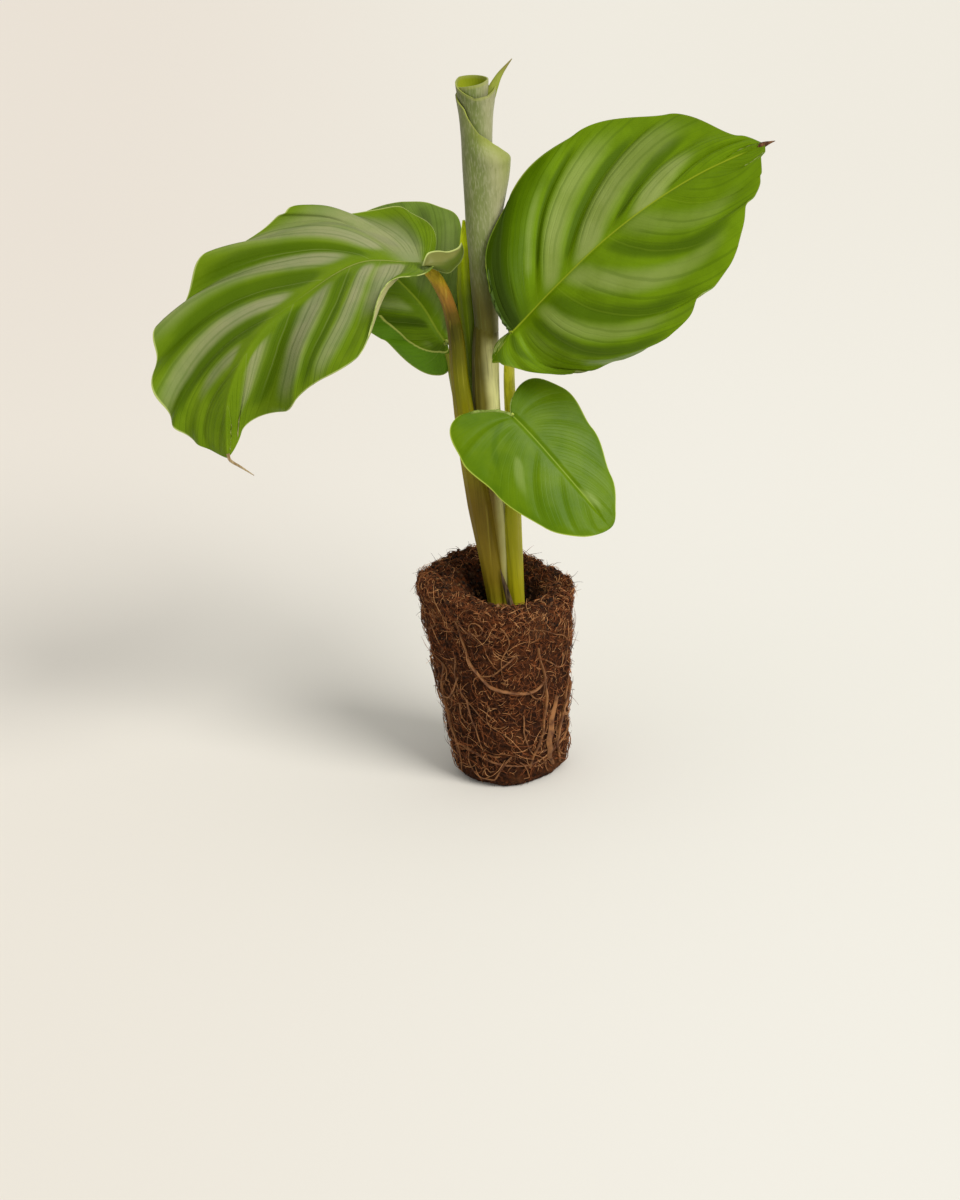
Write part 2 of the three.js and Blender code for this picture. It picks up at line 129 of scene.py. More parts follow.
def newMaterial(name, roughness, specular):
    material = bpy.data.materials.new(name)
    material.use_nodes = True
    opened.append(material.node_tree)
    shader = shaderInputs(material)
    shader["Roughness"].default_value = roughness
    shader["Specular IOR Level"].default_value = specular
    return material, addNode("ShaderNodeTexCoord").outputs["Object"]


def finished(material, colour, height=None, distance=0.0, strength=1.0):
    # the material with its colour, and its fine relief where it has any
    shader = shaderInputs(material)
    plug(shader["Base Color"], colour)
    if height:
        bump = built("ShaderNodeBump", {"Height": height, "Distance": distance, "Strength": strength})
        plug(shader["Normal"], bump)
    return material


# Mesh helpers

def meshOf(name, points, faces, values=None, edges=()):
    # values holds a number for each point, under the attribute's name
    mesh = bpy.data.meshes.new(name)
    mesh.from_pydata((np.asarray(points) * mm).tolist(), edges, faces)
    for label, numbers in (values or {}).items():
        layer = mesh.attributes.new(label, "FLOAT", "POINT")
        layer.data.foreach_set("value", np.asarray(numbers, np.float32).ravel())
    mesh.update()
    return mesh


def gridFaces(rows, columns, closed=False, offset=0):
    # quads over a grid of points, counted row by row; closed joins the last column to the first
    spans = columns if closed else columns - 1
    return [
        (a + offset, b + offset, b + columns + offset, a + columns + offset)
        for i in range(rows - 1)
        for a, b in ((i * columns + j, i * columns + (j + 1) % columns) for j in range(spans))
    ]


def addObject(name, data):
    made = bpy.data.objects.new(name, data)
    bpy.context.scene.collection.objects.link(made)
    return made


def newTree(name, floats=(), ints=(), materials=("Finish",)):
    # a Geometry Nodes tree with these inputs, whose values grow sets
    tree = bpy.data.node_groups.new(name, "GeometryNodeTree")
    tree.is_modifier = True
    kinds = {"Geometry": ("Geometry",), "Float": floats, "Int": ints, "Material": materials}
    for kind, labels in kinds.items():
        for label in labels:
            tree.interface.new_socket(label, in_out="INPUT", socket_type="NodeSocket" + kind)
    tree.interface.new_socket("Geometry", in_out="OUTPUT", socket_type="NodeSocketGeometry")
    opened.append(tree)
    return addNode("NodeGroupInput").outputs


def named(label):
    return addNode("GeometryNodeInputNamedAttribute", {"Name": label}).outputs["Attribute"]


def scaled(vector, factor):
    return built("ShaderNodeVectorMath", {0: vector, "Scale": factor}, operation="SCALE")


def endTree(given, geometry):
    real = built("GeometryNodeRealizeInstances", {0: geometry})
    skinned = built("GeometryNodeSetMaterial", {0: real, "Material": given["Finish"]})
    addNode("NodeGroupOutput", {0: skinned})
    return opened[-1]


def grow(piece, tree, inputs):
    # runs the tree on the piece with these inputs and keeps the result as a plain mesh
    modifier = piece.modifiers.new(tree.name, "NODES")
    modifier.node_group = tree
    for item in tree.interface.items_tree:
        if item.in_out == "INPUT" and item.name in inputs:
            modifier[item.identifier] = inputs[item.name]
    source = piece.evaluated_get(bpy.context.evaluated_depsgraph_get())
    grown = bpy.data.meshes.new_from_object(source)
    piece.modifiers.clear()
    piece.data = grown
    grown.shade_smooth()
    grown.set_sharp_from_angle(angle=sharpAngle)


def finishPiece(piece, slot, *nodes):
    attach(piece, "root")
    if nodes:
        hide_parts(*nodes)


def addShape(name, mesh, material):
    piece = addObject(name, mesh)
    mesh.materials.append(material)
    mesh.shade_smooth()
    return piece


# Curves and eased steps

def smooth(t):
    return t * t * (3 - 2 * t)


def step(t):
    return smooth(np.clip(t, 0, 1))


def blend(steps, x):
    # a value given at equal steps from 0 to 1, read at x
    steps = np.asarray(steps, float)
    t = np.clip(x, 0, 1) * (len(steps) - 1)
    k = np.minimum(t.astype(int), len(steps) - 2)
    return steps[k] + (steps[k + 1] - steps[k]) * smooth(t - k)


def unit(vectors):
    return vectors / np.linalg.norm(vectors, axis=-1, keepdims=True)


def curveThrough(points, t):
    # a smooth curve through points: the places and directions at t, which runs from 0 to 1
    knots = np.asarray(points, float)
    knots = np.vstack([2 * knots[0] - knots[1], knots, 2 * knots[-1] - knots[-2]])
    spans = len(knots) - 3
    t = np.asarray(t, float) * spans
    k = np.clip(np.floor(t).astype(int), 0, spans - 1)
    w = (t - k)[..., None]
    before, first, second, after = (knots[k + i] for i in range(4))
    leaving, arriving = (second - before) / 2, (after - first) / 2
    square = 3 * (second - first) - 2 * leaving - arriving
    cube = 2 * (first - second) + leaving + arriving
    place = first + leaving * w + square * w**2 + cube * w**3
    return place, unit(leaving + 2 * square * w + 3 * cube * w**2)


# Leaves. The guide runs along the midrib in equal steps: its first point leads the basal lobes, its second
# is where the petiole joins and its last is the tip. Pairs are for the left and right halves, seen from
# above with the tip ahead, and their numbers stand at equal steps from the base to the tip. A wave lifts
# the margin: how far along, how high, how long. A notch cuts into it: how far along, inward, backward, how
# long. The midrib fades between two places along it. Veins says how far along the main side veins leave, and
# bow how far they arc. A dark or silver band has its place along, its half width, its strength, its drift
# towards the margin, and where it starts and ends between the midrib and the margin. Dark bands are the
# leaf's dark stripes; where one runs stronger than 1 it is painted shade. Silver bands are the leaf's
# silver pattern and partly painted sheen and painted highlights.

leafLeft = {
    "guide": [
        (3.5, -5, 126.5), (-9.5, -5, 125.2), (-23.2, -10, 128.1), (-35.8, -15, 123.6),
        (-47.1, -20, 116.6), (-54.4, -24, 105.3), (-56.3, -26, 91.3),
    ],
    "facing": (-0.15, -0.3, 0.94),
    "lobes": (0.4, 0.35),
    "widths": ((12, 14, 17, 25.6, 20.5, 7.5, 5), (21, 25, 25.5, 27, 29, 27, 25)),
    "fold": ((60, 32, 19, 8, 4, -60, -80), (8, 12, 5, 2, -2, -8, -20)),
    "curl": ((-5, -10, -18, -28, -30, -30, 0), (20, 0, 0, 0, -10, -20, -30)),
    "waves": (
        (),
        (
            (0.24, 1.6, 0.03), (0.325, -1.8, 0.035), (0.395, 2.4, 0.03), (0.54, 4.6, 0.032),
            (0.655, 5.8, 0.032), (0.735, 4.4, 0.04), (0.825, 2.4, 0.022), (0.9, 1.2, 0.02),
        ),
    ),
    "notches": (((0.12, 2, 0, 0.06),), ((0.405, 0.9, 0, 0.006),)),
    "midribFades": (0.15, 0.85),
    "bow": (0.09, 0.09),
    "veins": (
        (0.14, 0.28, 0.41, 0.53, 0.63, 0.775, 0.88, 0.95),
        (0.14, 0.27, 0.405, 0.565, 0.705, 0.815, 0.9, 0.96),
    ),
    "relief": (0.6, 0.8),
    "dark": (
        ((0.532, 0.008, 0.5, 0.02, 0.1, 0.8), (0.635, 0.03, 1, 0, 0, 1), (0.775, 0.034, 1, 0.03, 0, 0.9)),
        (
            (0.27, 0.1, 0.55, 0.1, 0.2, 1), (0.41, 0.022, 0.9, 0.2, 0.12, 0.9),
            (0.562, 0.026, 1, 0.02, 0, 1), (0.702, 0.042, 1, 0.03, 0, 1), (0.815, 0.032, 1, 0, 0, 1),
        ),
    ),
    "silverAndSheen": (
        (
            (0.12, 0.2, 0.9, 0, -0.2, 1.3), (0.47, 0.085, 1, 0, 0.02, 0.7), (0.572, 0.032, 0.95, 0.03, 0, 1),
            (0.702, 0.048, 0.95, 0, 0, 0.95), (0.845, 0.05, 0.8, 0.02, 0.06, 0.8),
        ),
        (
            (0.36, 0.16, 0.8, 0.1, -0.2, 1), (0.2, 0.3, 0.45, 0, -0.1, 0.13),
            (0.335, 0.022, 0.9, 0.27, 0.14, 0.95), (0.485, 0.055, 1, 0.02, 0.05, 1.1),
            (0.622, 0.044, 1, 0.03, 0.03, 1.1), (0.765, 0.03, 0.95, 0.02, 0.02, 1.1),
            (0.865, 0.022, 0.7, 0, 0.06, 0.7),
        ),
    ),
}
leafRight = {
    "guide": [
        (-1.5, -5.9, 99.8), (8.5, -5.9, 107.5), (19, -7.5, 117.7), (29.8, -8.5, 127.2),
        (41.4, -9.5, 135.4), (53.6, -10.5, 142), (66.6, -11.9, 147.1),
    ],
    "facing": (-0.2, -0.6, 0.75),
    "lobes": (-0.12, 0.52),
    "widths": ((37, 27.5, 24, 25.2, 22.3, 9.5, 1.5), (13.4, 10.6, 22.9, 28, 27, 21, 12)),
    "fold": ((40, 40, 42, 15, 0, 0, 0), (3, -3, -25, 0, 0, 0, 0)),
    "curl": ((60, 40, -22, -20, -20, -20, 0), (3, -77, -32, -20, -20, -20, -20)),
    "waves": (
        ((0.62, 0.8, 0.06),), ((0.21, -1.5, 0.03), (0.44, 1.5, 0.03), (0.58, 2.5, 0.025), (0.79, 2, 0.02)),
    ),
    "notches": (
        (), ((0.06, 0, 3.2, 0.03), (0.3, 1.2, 0, 0.008), (0.868, 0.8, 0, 0.006), (0.91, 2.6, 0, 0.025)),
    ),
    "midribFades": (0.9, 1),
    "bow": (0.09, 0.2),
    "veins": (
        (0.13, 0.25, 0.37, 0.515, 0.643, 0.765, 0.87, 0.95),
        (0.12, 0.22, 0.32, 0.475, 0.6, 0.765, 0.87, 0.95),
    ),
    "relief": (1.0, 0.7),
    "dark": (
        (
            # The first band is painted shade over the base of this half.
            (0.18, 0.27, 2.4, 0, -0.1, 1.3), (0.521, 0.018, 0.9, 0, 0.12, 0.95),
            (0.636, 0.016, 1, 0.01, 0.04, 0.9), (0.76, 0.016, 1, -0.03, 0.04, 0.9),
        ),
        (
            (0.1, 0.09, 0.8, 0, -0.1, 1.2), (0.26, 0.05, 0.8, 0.1, 0, 0.6),
            (0.475, 0.032, 0.85, 0.06, -0.04, 1), (0.6, 0.042, 0.8, 0.1, -0.04, 0.85),
            (0.768, 0.024, 0.8, 0.05, -0.04, 0.95),
        ),
    ),
    "silverAndSheen": (
        (
            (0.48, 0.022, 0.5, 0, 0.1, 0.8), (0.58, 0.046, 0.85, 0, -0.06, 0.95),
            (0.703, 0.05, 1, 0, -0.08, 0.95), (0.82, 0.04, 1, -0.04, -0.08, 0.7),
        ),
        (
            (0.41, 0.05, 0.3, 0.08, -0.06, 0.8), (0.54, 0.04, 0.66, 0.08, -0.06, 0.9),
            (0.7, 0.044, 0.72, 0.12, -0.08, 0.9), (0.835, 0.045, 0.5, 0.08, -0.08, 0.85),
        ),
    ),
}
leafSmall = {
    "guide": [
        (3.2, -6, 92), (7.1, -8, 88.6), (11.1, -10, 84.1), (15, -12, 79.2),
        (19, -14, 74), (23, -16, 68.6), (26.4, -17.8, 63.4),
    ],
    "facing": (0.1, -0.72, 0.66),
    "lobes": (0.62, 1.3),
    "widths": ((15, 16.5, 15.3, 12, 9.2, 6.8, 7), (20, 19.8, 18, 15, 13.5, 12.5, 10)),
    "fold": ((5, 5, 5, 5, 0, 0, 0), (5, 5, 5, 0, 0, 0, 0)),
    "curl": ((-20, -20, -20, -20, -10, 0, 0), (-20, -30, -30, -30, -30, -20, -20)),
    "waves": (((0.4, 0.5, 0.06),), ((0.35, 0.5, 0.05),)),
    "notches": ((), ()),
    "midribFades": (0.75, 0.98),
    "bow": (0.1, 0.1),
    "veins": ((0.2, 0.36, 0.5, 0.64, 0.78, 0.9), (0.17, 0.3, 0.44, 0.66, 0.8, 0.9)),
    "relief": (0.15, 0.25),
    "dark": (
        ((0.42, 0.05, 0.4, 0.05, 0.1, 0.8), (0.68, 0.05, 0.35, 0.05, 0.1, 0.8)),
        ((0.4, 0.035, 0.7, 0.3, 0.1, 0.8), (0.66, 0.04, 0.45, 0.1, 0.1, 0.8)),
    ),
    "silverAndSheen": (
        # The second band is a painted highlight beside the midrib near the tip.
        ((0.55, 0.06, 0.12, 0.1, 0.3, 0.75), (0.9, 0.04, 0.8, 0, -0.1, 0.5)),
        (
            # The band at 0.575 is a painted highlight.
            (0.3, 0.06, 0.15, 0, 0.4, 0.8), (0.575, 0.034, 1, 0.1, 0.28, 0.75),
            (0.74, 0.05, 0.35, 0, 0.2, 0.8),
        ),
    ),
}
leafBack = {
    "guide": [
        (3, -6, 95), (-6.3, 3.5, 103.4), (-11, 10, 110.5), (-16.5, 17, 115.5),
        (-21.5, 24, 119), (-26.5, 31, 121), (-31, 38, 121),
    ],
    "facing": (-0.1, -0.5, 0.85),
    "lobes": (0.35, 0),
    "widths": ((20, 15, 13, 14, 15, 14, 12), (14, 14, 17, 20, 18, 13, 12)),
    "fold": ((-70, -40, -10, 0, 0, 0, 0), (5, 5, 5, 5, 5, 5, 5)),
    "curl": ((-30, -30, -30, -10, -10, -10, 0), (-10, -10, -10, -10, -10, -10, 0)),
    "waves": ((), ((0.5, 1, 0.05),)),
    "notches": ((), ((0.5, -0.9, 0, 0.07), (0.61, -1.2, 0, 0.05))),
    "midribFades": (0.75, 0.98),
    "bow": (0.075, 0.075),
    "veins": ((0.12, 0.22, 0.34, 0.46, 0.6, 0.74, 0.87), (0.12, 0.24, 0.37, 0.5, 0.63, 0.76, 0.88)),
    "relief": (0.45, 0.55),
    "dark": (
        ((0.2, 0.12, 0.6, 0, 0, 0.5), (0.46, 0.05, 0.9, 0, 0, 1), (0.74, 0.05, 0.9, 0, 0, 1)),
        ((0.35, 0.08, 0.9, 0, 0, 1), (0.63, 0.03, 0.8, 0, 0, 1), (0.76, 0.05, 0.9, 0, 0, 1)),
    ),
    "silverAndSheen": (
        ((0.3, 0.04, 0.5, 0, 0.15, 0.5), (0.58, 0.06, 0.8, 0, 0.05, 0.95), (0.84, 0.05, 0.7, 0, 0.05, 0.9)),
        (
            # The first band lightens the whole of this half: painted light where it lies in the shade of the
            # roll and the right leaf.
            (0.5, 0.5, 0.6, 0, 0, 1.2), (0.52, 0.07, 1, 0, 0.35, 1.1), (0.7, 0.03, 0.8, 0, 0.05, 0.95),
            (0.84, 0.05, 0.7, 0, 0.05, 0.9),
        ),
    ),
    "turnedUnder": ((0.2, 0.27), (0.34, 0.55)),  # the near half folds back on itself beyond this line
}
blade = {
    "rows": 260,
    "columns": 34,
    "columnBias": 1.2,  # above one draws the columns towards the midrib
    "thickness": 0.42,
    "veinSweep": 3.1,  # how late the veins leave the midrib
    "midVein": 0.4,  # where between midrib and margin the place of a band or vein is measured
    "veinDrift": 0.02,
    "waveRise": 2.2,  # how late a wave rises towards the margin
    "valleyWidth": 0.17,  # as a share of the gap between two side veins
    "restHeight": 0.45,
    "foldDrop": 0.5,
    "midribGroove": 0.3,
    "midribKeel": 0.35,
    "midribWidth": 0.9,
}


def bandShape(bands, u, v):
    # the strongest of the soft-edged bands at each point
    total = np.zeros_like(u)
    for place, reach, strength, drift, start, end in bands:
        off = np.abs(u - place - drift * (v - blade["midVein"])) / reach
        inside = step((v - start) / 0.14) * step((end + 0.12 - v) / 0.38)
        total = np.maximum(total, strength * (1 - step((off - 0.1) / 1.35)) * inside)
    return total


def veinPhase(veins, u, v):
    # a whole number on every main side vein, and even steps between
    places = np.array([0, *veins, 1])
    return np.interp(u - blade["veinDrift"] * (v - blade["midVein"]), places, np.arange(len(places)))


def foldGap(leaf, half, u, v):
    # how far beyond the turned-under line of the left half a point lies
    if half or "turnedUnder" not in leaf:
        return np.full_like(u, -1.0)
    (fromU, fromV), (toU, toV) = leaf["turnedUnder"]
    gap = v - fromV - (toV - fromV) * step((u - fromU) / (toU - fromU))
    return np.where(u < 0.5, gap, -1.0)


def leafPlaces(leaf, half, u, v):
    # u runs from the base to the tip, and v from the midrib to the margin along a vein
    steps = len(leaf["guide"]) - 1
    track, _ = curveThrough(leaf["guide"], np.linspace(1 / steps, 1, 400))
    length = np.linalg.norm(np.diff(track, axis=0), axis=1).sum()
    arc = np.pi * u
    marginX = (1 - np.cos(arc)) / 2 - leaf["lobes"][half] * np.sin(arc) * (1 - u) ** 3
    marginY = blend(leaf["widths"][half], u) * np.sin(arc)
    for place, inward, backward, reach in leaf["notches"][half]:
        cut = np.exp(-(((u - place) / reach) ** 2))
        marginX = marginX - backward / length * cut
        marginY = marginY - inward * cut
    marginY = np.maximum(marginY, 0)
    midribX = u ** blade["veinSweep"]
    bow = leaf["bow"][half] * 4 * v * (1 - v)
    x = midribX + (marginX - midribX) * v - bow * marginY / length
    y = marginY * v + bow * (marginX - midribX) * length
    t = (x * (steps - 1) + 1) / steps
    onGuide = np.maximum(t, 0)
    centre, along = curveThrough(leaf["guide"], onGuide)
    centre = centre + along * ((t - onGuide) * length * steps / (steps - 1))[..., None]
    facing = np.asarray(leaf["facing"], float)
    up = unit(facing - along * (along * facing).sum(-1, keepdims=True))
    across = np.cross(along, up) * (1 if half else -1)
    fold = np.radians(blend(leaf["fold"][half], u))
    bend = np.radians(blend(leaf["curl"][half], u)) / max(leaf["widths"][half])
    bend = np.where(np.abs(bend) < 1e-6, 1e-6, bend)
    turned = fold + bend * y
    out = (np.sin(turned) - np.sin(fold)) / bend
    rise = (np.cos(fold) - np.cos(turned)) / bend
    for place, height, reach in leaf["waves"][half]:
        rise = rise + height * v ** blade["waveRise"] * np.exp(-(((u - place) / reach) ** 2))
    phase = veinPhase(leaf["veins"][half], u, v)
    valley = np.exp(-(((phase - np.round(phase)) / blade["valleyWidth"]) ** 2))
    window = step(v / 0.25) * step((1 - v) / 0.2) * step((u - 0.2) / 0.15) * step((1 - u) / 0.08)
    rise = rise + leaf["relief"][half] * (blade["restHeight"] - valley) * window
    rise = rise - blade["foldDrop"] * step(foldGap(leaf, half, u, v) / 0.03)
    veinLength = np.hypot((marginX - midribX) * length, marginY)
    fadeFrom, fadeTo = leaf["midribFades"]
    fromRib = np.hypot(np.minimum(x, 0) * length, y) + 0.6 * step((x - fadeFrom) / (fadeTo - fadeFrom))
    return centre + across * out[..., None] + up * rise[..., None], fromRib, (1 - v) * veinLength


def leafSheet(name, leaf):
    # the upper surface, with what the materials and the relief read on every point
    rows, columns = blade["rows"], blade["columns"]
    across = np.linspace(0, 1, columns + 1) ** blade["columnBias"]
    u, v = np.meshgrid(np.linspace(0, 1, rows + 1), across, indexing="ij")
    points, faces, halves = [], [], []
    for half in (0, 1):
        places, ribGap, marginGap = leafPlaces(leaf, half, u, v)
        for face in gridFaces(rows + 1, columns + 1, offset=half * u.size):
            faces.append(face if half else face[::-1])
        points.append(places.reshape(-1, 3))
        halves.append({
            "phase": veinPhase(leaf["veins"][half], u, v), "across": v, "ribGap": ribGap,
            "marginGap": marginGap + 0.4 * step((u - 0.85) / 0.1),
            "dark": bandShape(leaf["dark"][half], u, v), "silverAndSheen": bandShape(leaf["silverAndSheen"][half], u, v),
            "foldGap": foldGap(leaf, half, u, v),
        })
    values = {label: np.concatenate([given[label].ravel() for given in halves]) for label in halves[0]}
    return meshOf(name, np.concatenate(points), faces, values)


def bladeTree():
    sizes = ("Thickness", "Vein depth", "Midrib groove", "Midrib keel", "Midrib width")
    given = newTree("bladeShape", sizes, materials=("Upper", "Under", "Margin"))
    welded = built("GeometryNodeMergeByDistance", {0: given["Geometry"], "Distance": 2e-6})
    normal = built("GeometryNodeInputNormal")
    ribShare = ramp(named("ribGap"), 0, given["Midrib width"], 1, 0)
    across = named("across")
    fine = calc("PINGPONG", times(named("phase"), 6), 0.5)
    vein = ramp(fine, 0, 0.3, 1, 0)
    fades = times(ramp(across, 0.02, 0.15), ramp(across, 0.75, 0.98, 1, 0))
    dips = times(times(vein, fades), given["Vein depth"])
    drop = plus(dips, times(ribShare, given["Midrib groove"]))
    thins = ramp(named("marginGap"), 0, 1.6, 0.45, 1)
    thickness = times(given["Thickness"], thins)
    half = times(thickness, 0.5)
    upper = built("GeometryNodeSetPosition", {
        0: welded, "Offset": scaled(normal, calc("SUBTRACT", half, drop)),
    })
    keel = times(ribShare, given["Midrib keel"])
    extruded = addNode("GeometryNodeExtrudeMesh", {
        "Mesh": upper, "Offset": scaled(normal, -1), "Offset Scale": plus(thickness, keel),
        "Individual": False,
    })
    under = built("GeometryNodeSetMaterial", {0: extruded.outputs["Mesh"], "Material": given["Under"]})
    rimmed = built("GeometryNodeSetMaterial", {
        0: under, "Selection": extruded.outputs["Side"], "Material": given["Margin"],
    })
    flipped = built("GeometryNodeFlipFaces", {0: rimmed})
    top = built("GeometryNodeSetMaterial", {0: upper, "Material": given["Upper"]})
    joined = addNode("GeometryNodeJoinGeometry")
    for part in (top, flipped):
        plug(joined.inputs[0], part)
    closed = built("GeometryNodeMergeByDistance", {0: joined.outputs[0], "Distance": 1e-6})
    addNode("NodeGroupOutput", {0: built("GeometryNodeRealizeInstances", {0: closed})})
    return opened[-1]


# Leaf finishes

def veinMasks(place, ribWidth):
    # where the bands, the fine veins, the bright side veins, the midrib and the margin lie
    patchy = noise(place, (90, 90, 90), 4, 0.6)
    # the dark stripes, and painted shade where the dark attribute runs high
    dark = ramp(plus(attribute("dark"), times(patchy, 0.3)), 0.3, 0.95)
    across = attribute("across")
    # the silver pattern, partly painted sheen and highlights; it fades towards the margin
    silverAndSheen = plus(attribute("silverAndSheen"), times(patchy, 0.35))
    silverAndSheen = times(ramp(silverAndSheen, 0.32, 1.15), ramp(across, 0.25, 1, 1, 0.6))
    wobble = times(noise(place, 160, 2), 0.06)
    phase = plus(attribute("phase"), wobble)
    leaves = ramp(across, 0.03, 0.2)
    fine = calc("PINGPONG", times(phase, 6), 0.5)
    fineVein = times(ramp(fine, 0, 0.16, 1, 0), leaves)
    pair = calc("ABSOLUTE", calc("SUBTRACT", calc("PINGPONG", phase, 0.5), 0.36))
    darkLine = times(ramp(pair, 0.012, 0.035, 1, 0), leaves)
    side = calc("SUBTRACT", calc("FRACT", plus(phase, 0.5)), 0.5)
    beside = calc("ABSOLUTE", calc("SUBTRACT", side, 0.05))
    fadesOut = ramp(across, 0.45, 0.85, 1, 0)
    lightVein = times(ramp(beside, 0.006, 0.022, 1, 0), fadesOut)
    fold = attribute("foldGap")
    return {
        "dark": dark, "silverAndSheen": silverAndSheen, "fineVein": fineVein, "darkLine": darkLine, "lightVein": lightVein,
        "midrib": ramp(attribute("ribGap"), 0.12 * ribWidth, 0.42 * ribWidth, 1, 0),
        "margin": ramp(attribute("marginGap"), 0.12, 0.4, 1, 0), "beyondFold": ramp(fold, 0, 0.02),
        "foldLine": ramp(calc("ABSOLUTE", fold), 0.008, 0.022, 1, 0), "phase": phase, "across": across,
    }


def quilted(masks):
    # the fine cross veins, as a height
    rungs = calc("SINE", times(masks["across"], 360))
    ropes = calc("SINE", times(masks["phase"], 120))
    return plus(times(rungs, 0.3), times(ropes, 0.5))


def bladeUpper(name, look):
    material, place = newMaterial(name, look["roughness"], look["specular"])
    masks = veinMasks(place, look["ribWidth"])
    mottle = noise(place, 110, 4)
    colour = paint(
        mixColour(ramp(mottle, 0.3, 0.7), look["green"], look["lightGreen"]),
        # the dark stripes, and painted shade where a band runs strongest
        (times(masks["dark"], look["darkShare"]), look["dark"]),
        # the silver pattern, partly painted sheen and highlights
        (
            times(masks["silverAndSheen"], look["silverAndSheenShare"]),
            mixColour(ramp(mottle, 0.35, 0.65), look["silverAndSheen"], look["warmSilver"]),
        ),
        (times(masks["fineVein"], look["fineShare"]), look["dark"]),
        (times(masks["darkLine"], look["lineShare"]), look["dark"]),
        # painted shade: the darkest green where the dark attribute runs above one
        (ramp(attribute("dark"), 0.9, 1.8, 0, 0.9), look["paintedShade"]),
        # painted light: the part beyond the fold is a brighter green
        (times(masks["beyondFold"], 0.8), (88, 132, 20)),
        (times(masks["lightVein"], look["veinShare"]), look["vein"]),
        (times(masks["midrib"], 0.9), look["midrib"]),
        (times(masks["margin"], look["marginShare"]), look["margin"]),
        (masks["foldLine"], look["margin"]),
    )
    gloss = ramp(noise(place, 60), 0.2, 0.8, look["roughness"] - 0.06, look["roughness"] + 0.08)
    plug(shaderInputs(material)["Roughness"], gloss)
    relief = calc("SUBTRACT", times(quilted(masks), 0.35), masks["fineVein"])
    relief = plus(relief, noise(place, 900, 2))
    return finished(material, colour, relief, 0.00006, look["relief"])


def bladeUnder(name, look):
    material, place = newMaterial(name, 0.55, 0.3)
    masks = veinMasks(place, look["ribWidth"])
    # painted shade: the underside darkens towards underDark where the dark attribute runs high, and the
    # margin line fades there
    shaded = ramp(attribute("dark"), 0.3, 1.8, 0, 0.95)
    colour = paint(
        mixColour(ramp(noise(place, 90), 0.3, 0.7), look["under"], look["underLight"]),
        (shaded, look["underDark"]),
        (times(masks["fineVein"], 0.25), look["underDark"]),
        (masks["midrib"], look["midrib"]),
        (times(masks["margin"], ramp(shaded, 0.5, 0.9, 1, 0.3)), look["margin"]),
    )
    return finished(material, colour, masks["fineVein"], 0.00008, 0.7)


def bladeMargin(name, look):
    material, place = newMaterial(name, 0.5, 0.4)
    mottle = ramp(noise(place, 300), 0.35, 0.65)
    colour = mixColour(mottle, look["margin"], look["green"])
    return finished(material, colour)


# Per leaf: the darkest green paints shade where the dark bands run strongest, underDark is the underside's
# painted shade and its dark veins, and the silver colours paint the silver pattern and partly sheen.
bladeLooks = {
    "leafLeft": {
        "green": (92, 119, 6), "lightGreen": (104, 130, 14), "dark": (66, 93, 0), "paintedShade": (50, 70, 0),
        "silverAndSheen": (146, 152, 112), "warmSilver": (160, 158, 124), "vein": (150, 158, 96),
        "midrib": (140, 148, 74), "margin": (178, 188, 112), "under": (146, 146, 88),
        "underLight": (164, 162, 112), "underDark": (104, 122, 50), "darkShare": 0.7, "silverAndSheenShare": 0.73,
        "veinShare": 0.2, "fineShare": 0.1, "lineShare": 0.3, "ribWidth": 0.7, "marginShare": 0.75,
        "relief": 0.7, "roughness": 0.45, "specular": 0.08,
    },
    "leafRight": {
        "green": (91, 120, 0), "lightGreen": (104, 135, 4), "dark": (60, 86, 0), "paintedShade": (40, 58, 0),
        "silverAndSheen": (140, 155, 80), "warmSilver": (148, 160, 94), "vein": (146, 166, 46),
        "midrib": (140, 156, 30), "margin": (122, 134, 34), "under": (122, 138, 62),
        "underLight": (142, 154, 86), "underDark": (52, 76, 4), "darkShare": 0.7, "silverAndSheenShare": 0.7,
        "veinShare": 0.1, "fineShare": 0.07, "lineShare": 0.3, "ribWidth": 0.65, "marginShare": 0.4,
        "relief": 0.55, "roughness": 0.42, "specular": 0.09,
    },
    "leafSmall": {
        "green": (76, 107, 0), "lightGreen": (92, 121, 0), "dark": (60, 92, 0), "paintedShade": (50, 76, 0),
        "silverAndSheen": (150, 170, 92), "warmSilver": (154, 172, 102), "vein": (136, 164, 40),
        "midrib": (122, 146, 30), "margin": (172, 186, 76), "under": (124, 144, 60),
        "underLight": (144, 160, 84), "underDark": (98, 128, 34), "darkShare": 0.45, "silverAndSheenShare": 0.36,
        "veinShare": 0.08, "fineShare": 0.03, "lineShare": 0.07, "ribWidth": 0.5, "marginShare": 0.7,
        "relief": 0.3, "roughness": 0.36, "specular": 0.1,
    },
    "leafBack": {
        "green": (82, 110, 2), "lightGreen": (94, 124, 8), "dark": (54, 78, 0), "paintedShade": (44, 62, 0),
        "silverAndSheen": (138, 158, 84), "warmSilver": (148, 164, 98), "vein": (134, 152, 74),
        "midrib": (124, 144, 30), "margin": (164, 176, 84), "under": (116, 130, 66),
        "underLight": (134, 146, 84), "underDark": (92, 110, 42), "darkShare": 0.8, "silverAndSheenShare": 0.65,
        "veinShare": 0.2, "fineShare": 0.08, "lineShare": 0.25, "ribWidth": 0.8, "marginShare": 0.7,
        "relief": 0.6, "roughness": 0.45, "specular": 0.1,
    },
}

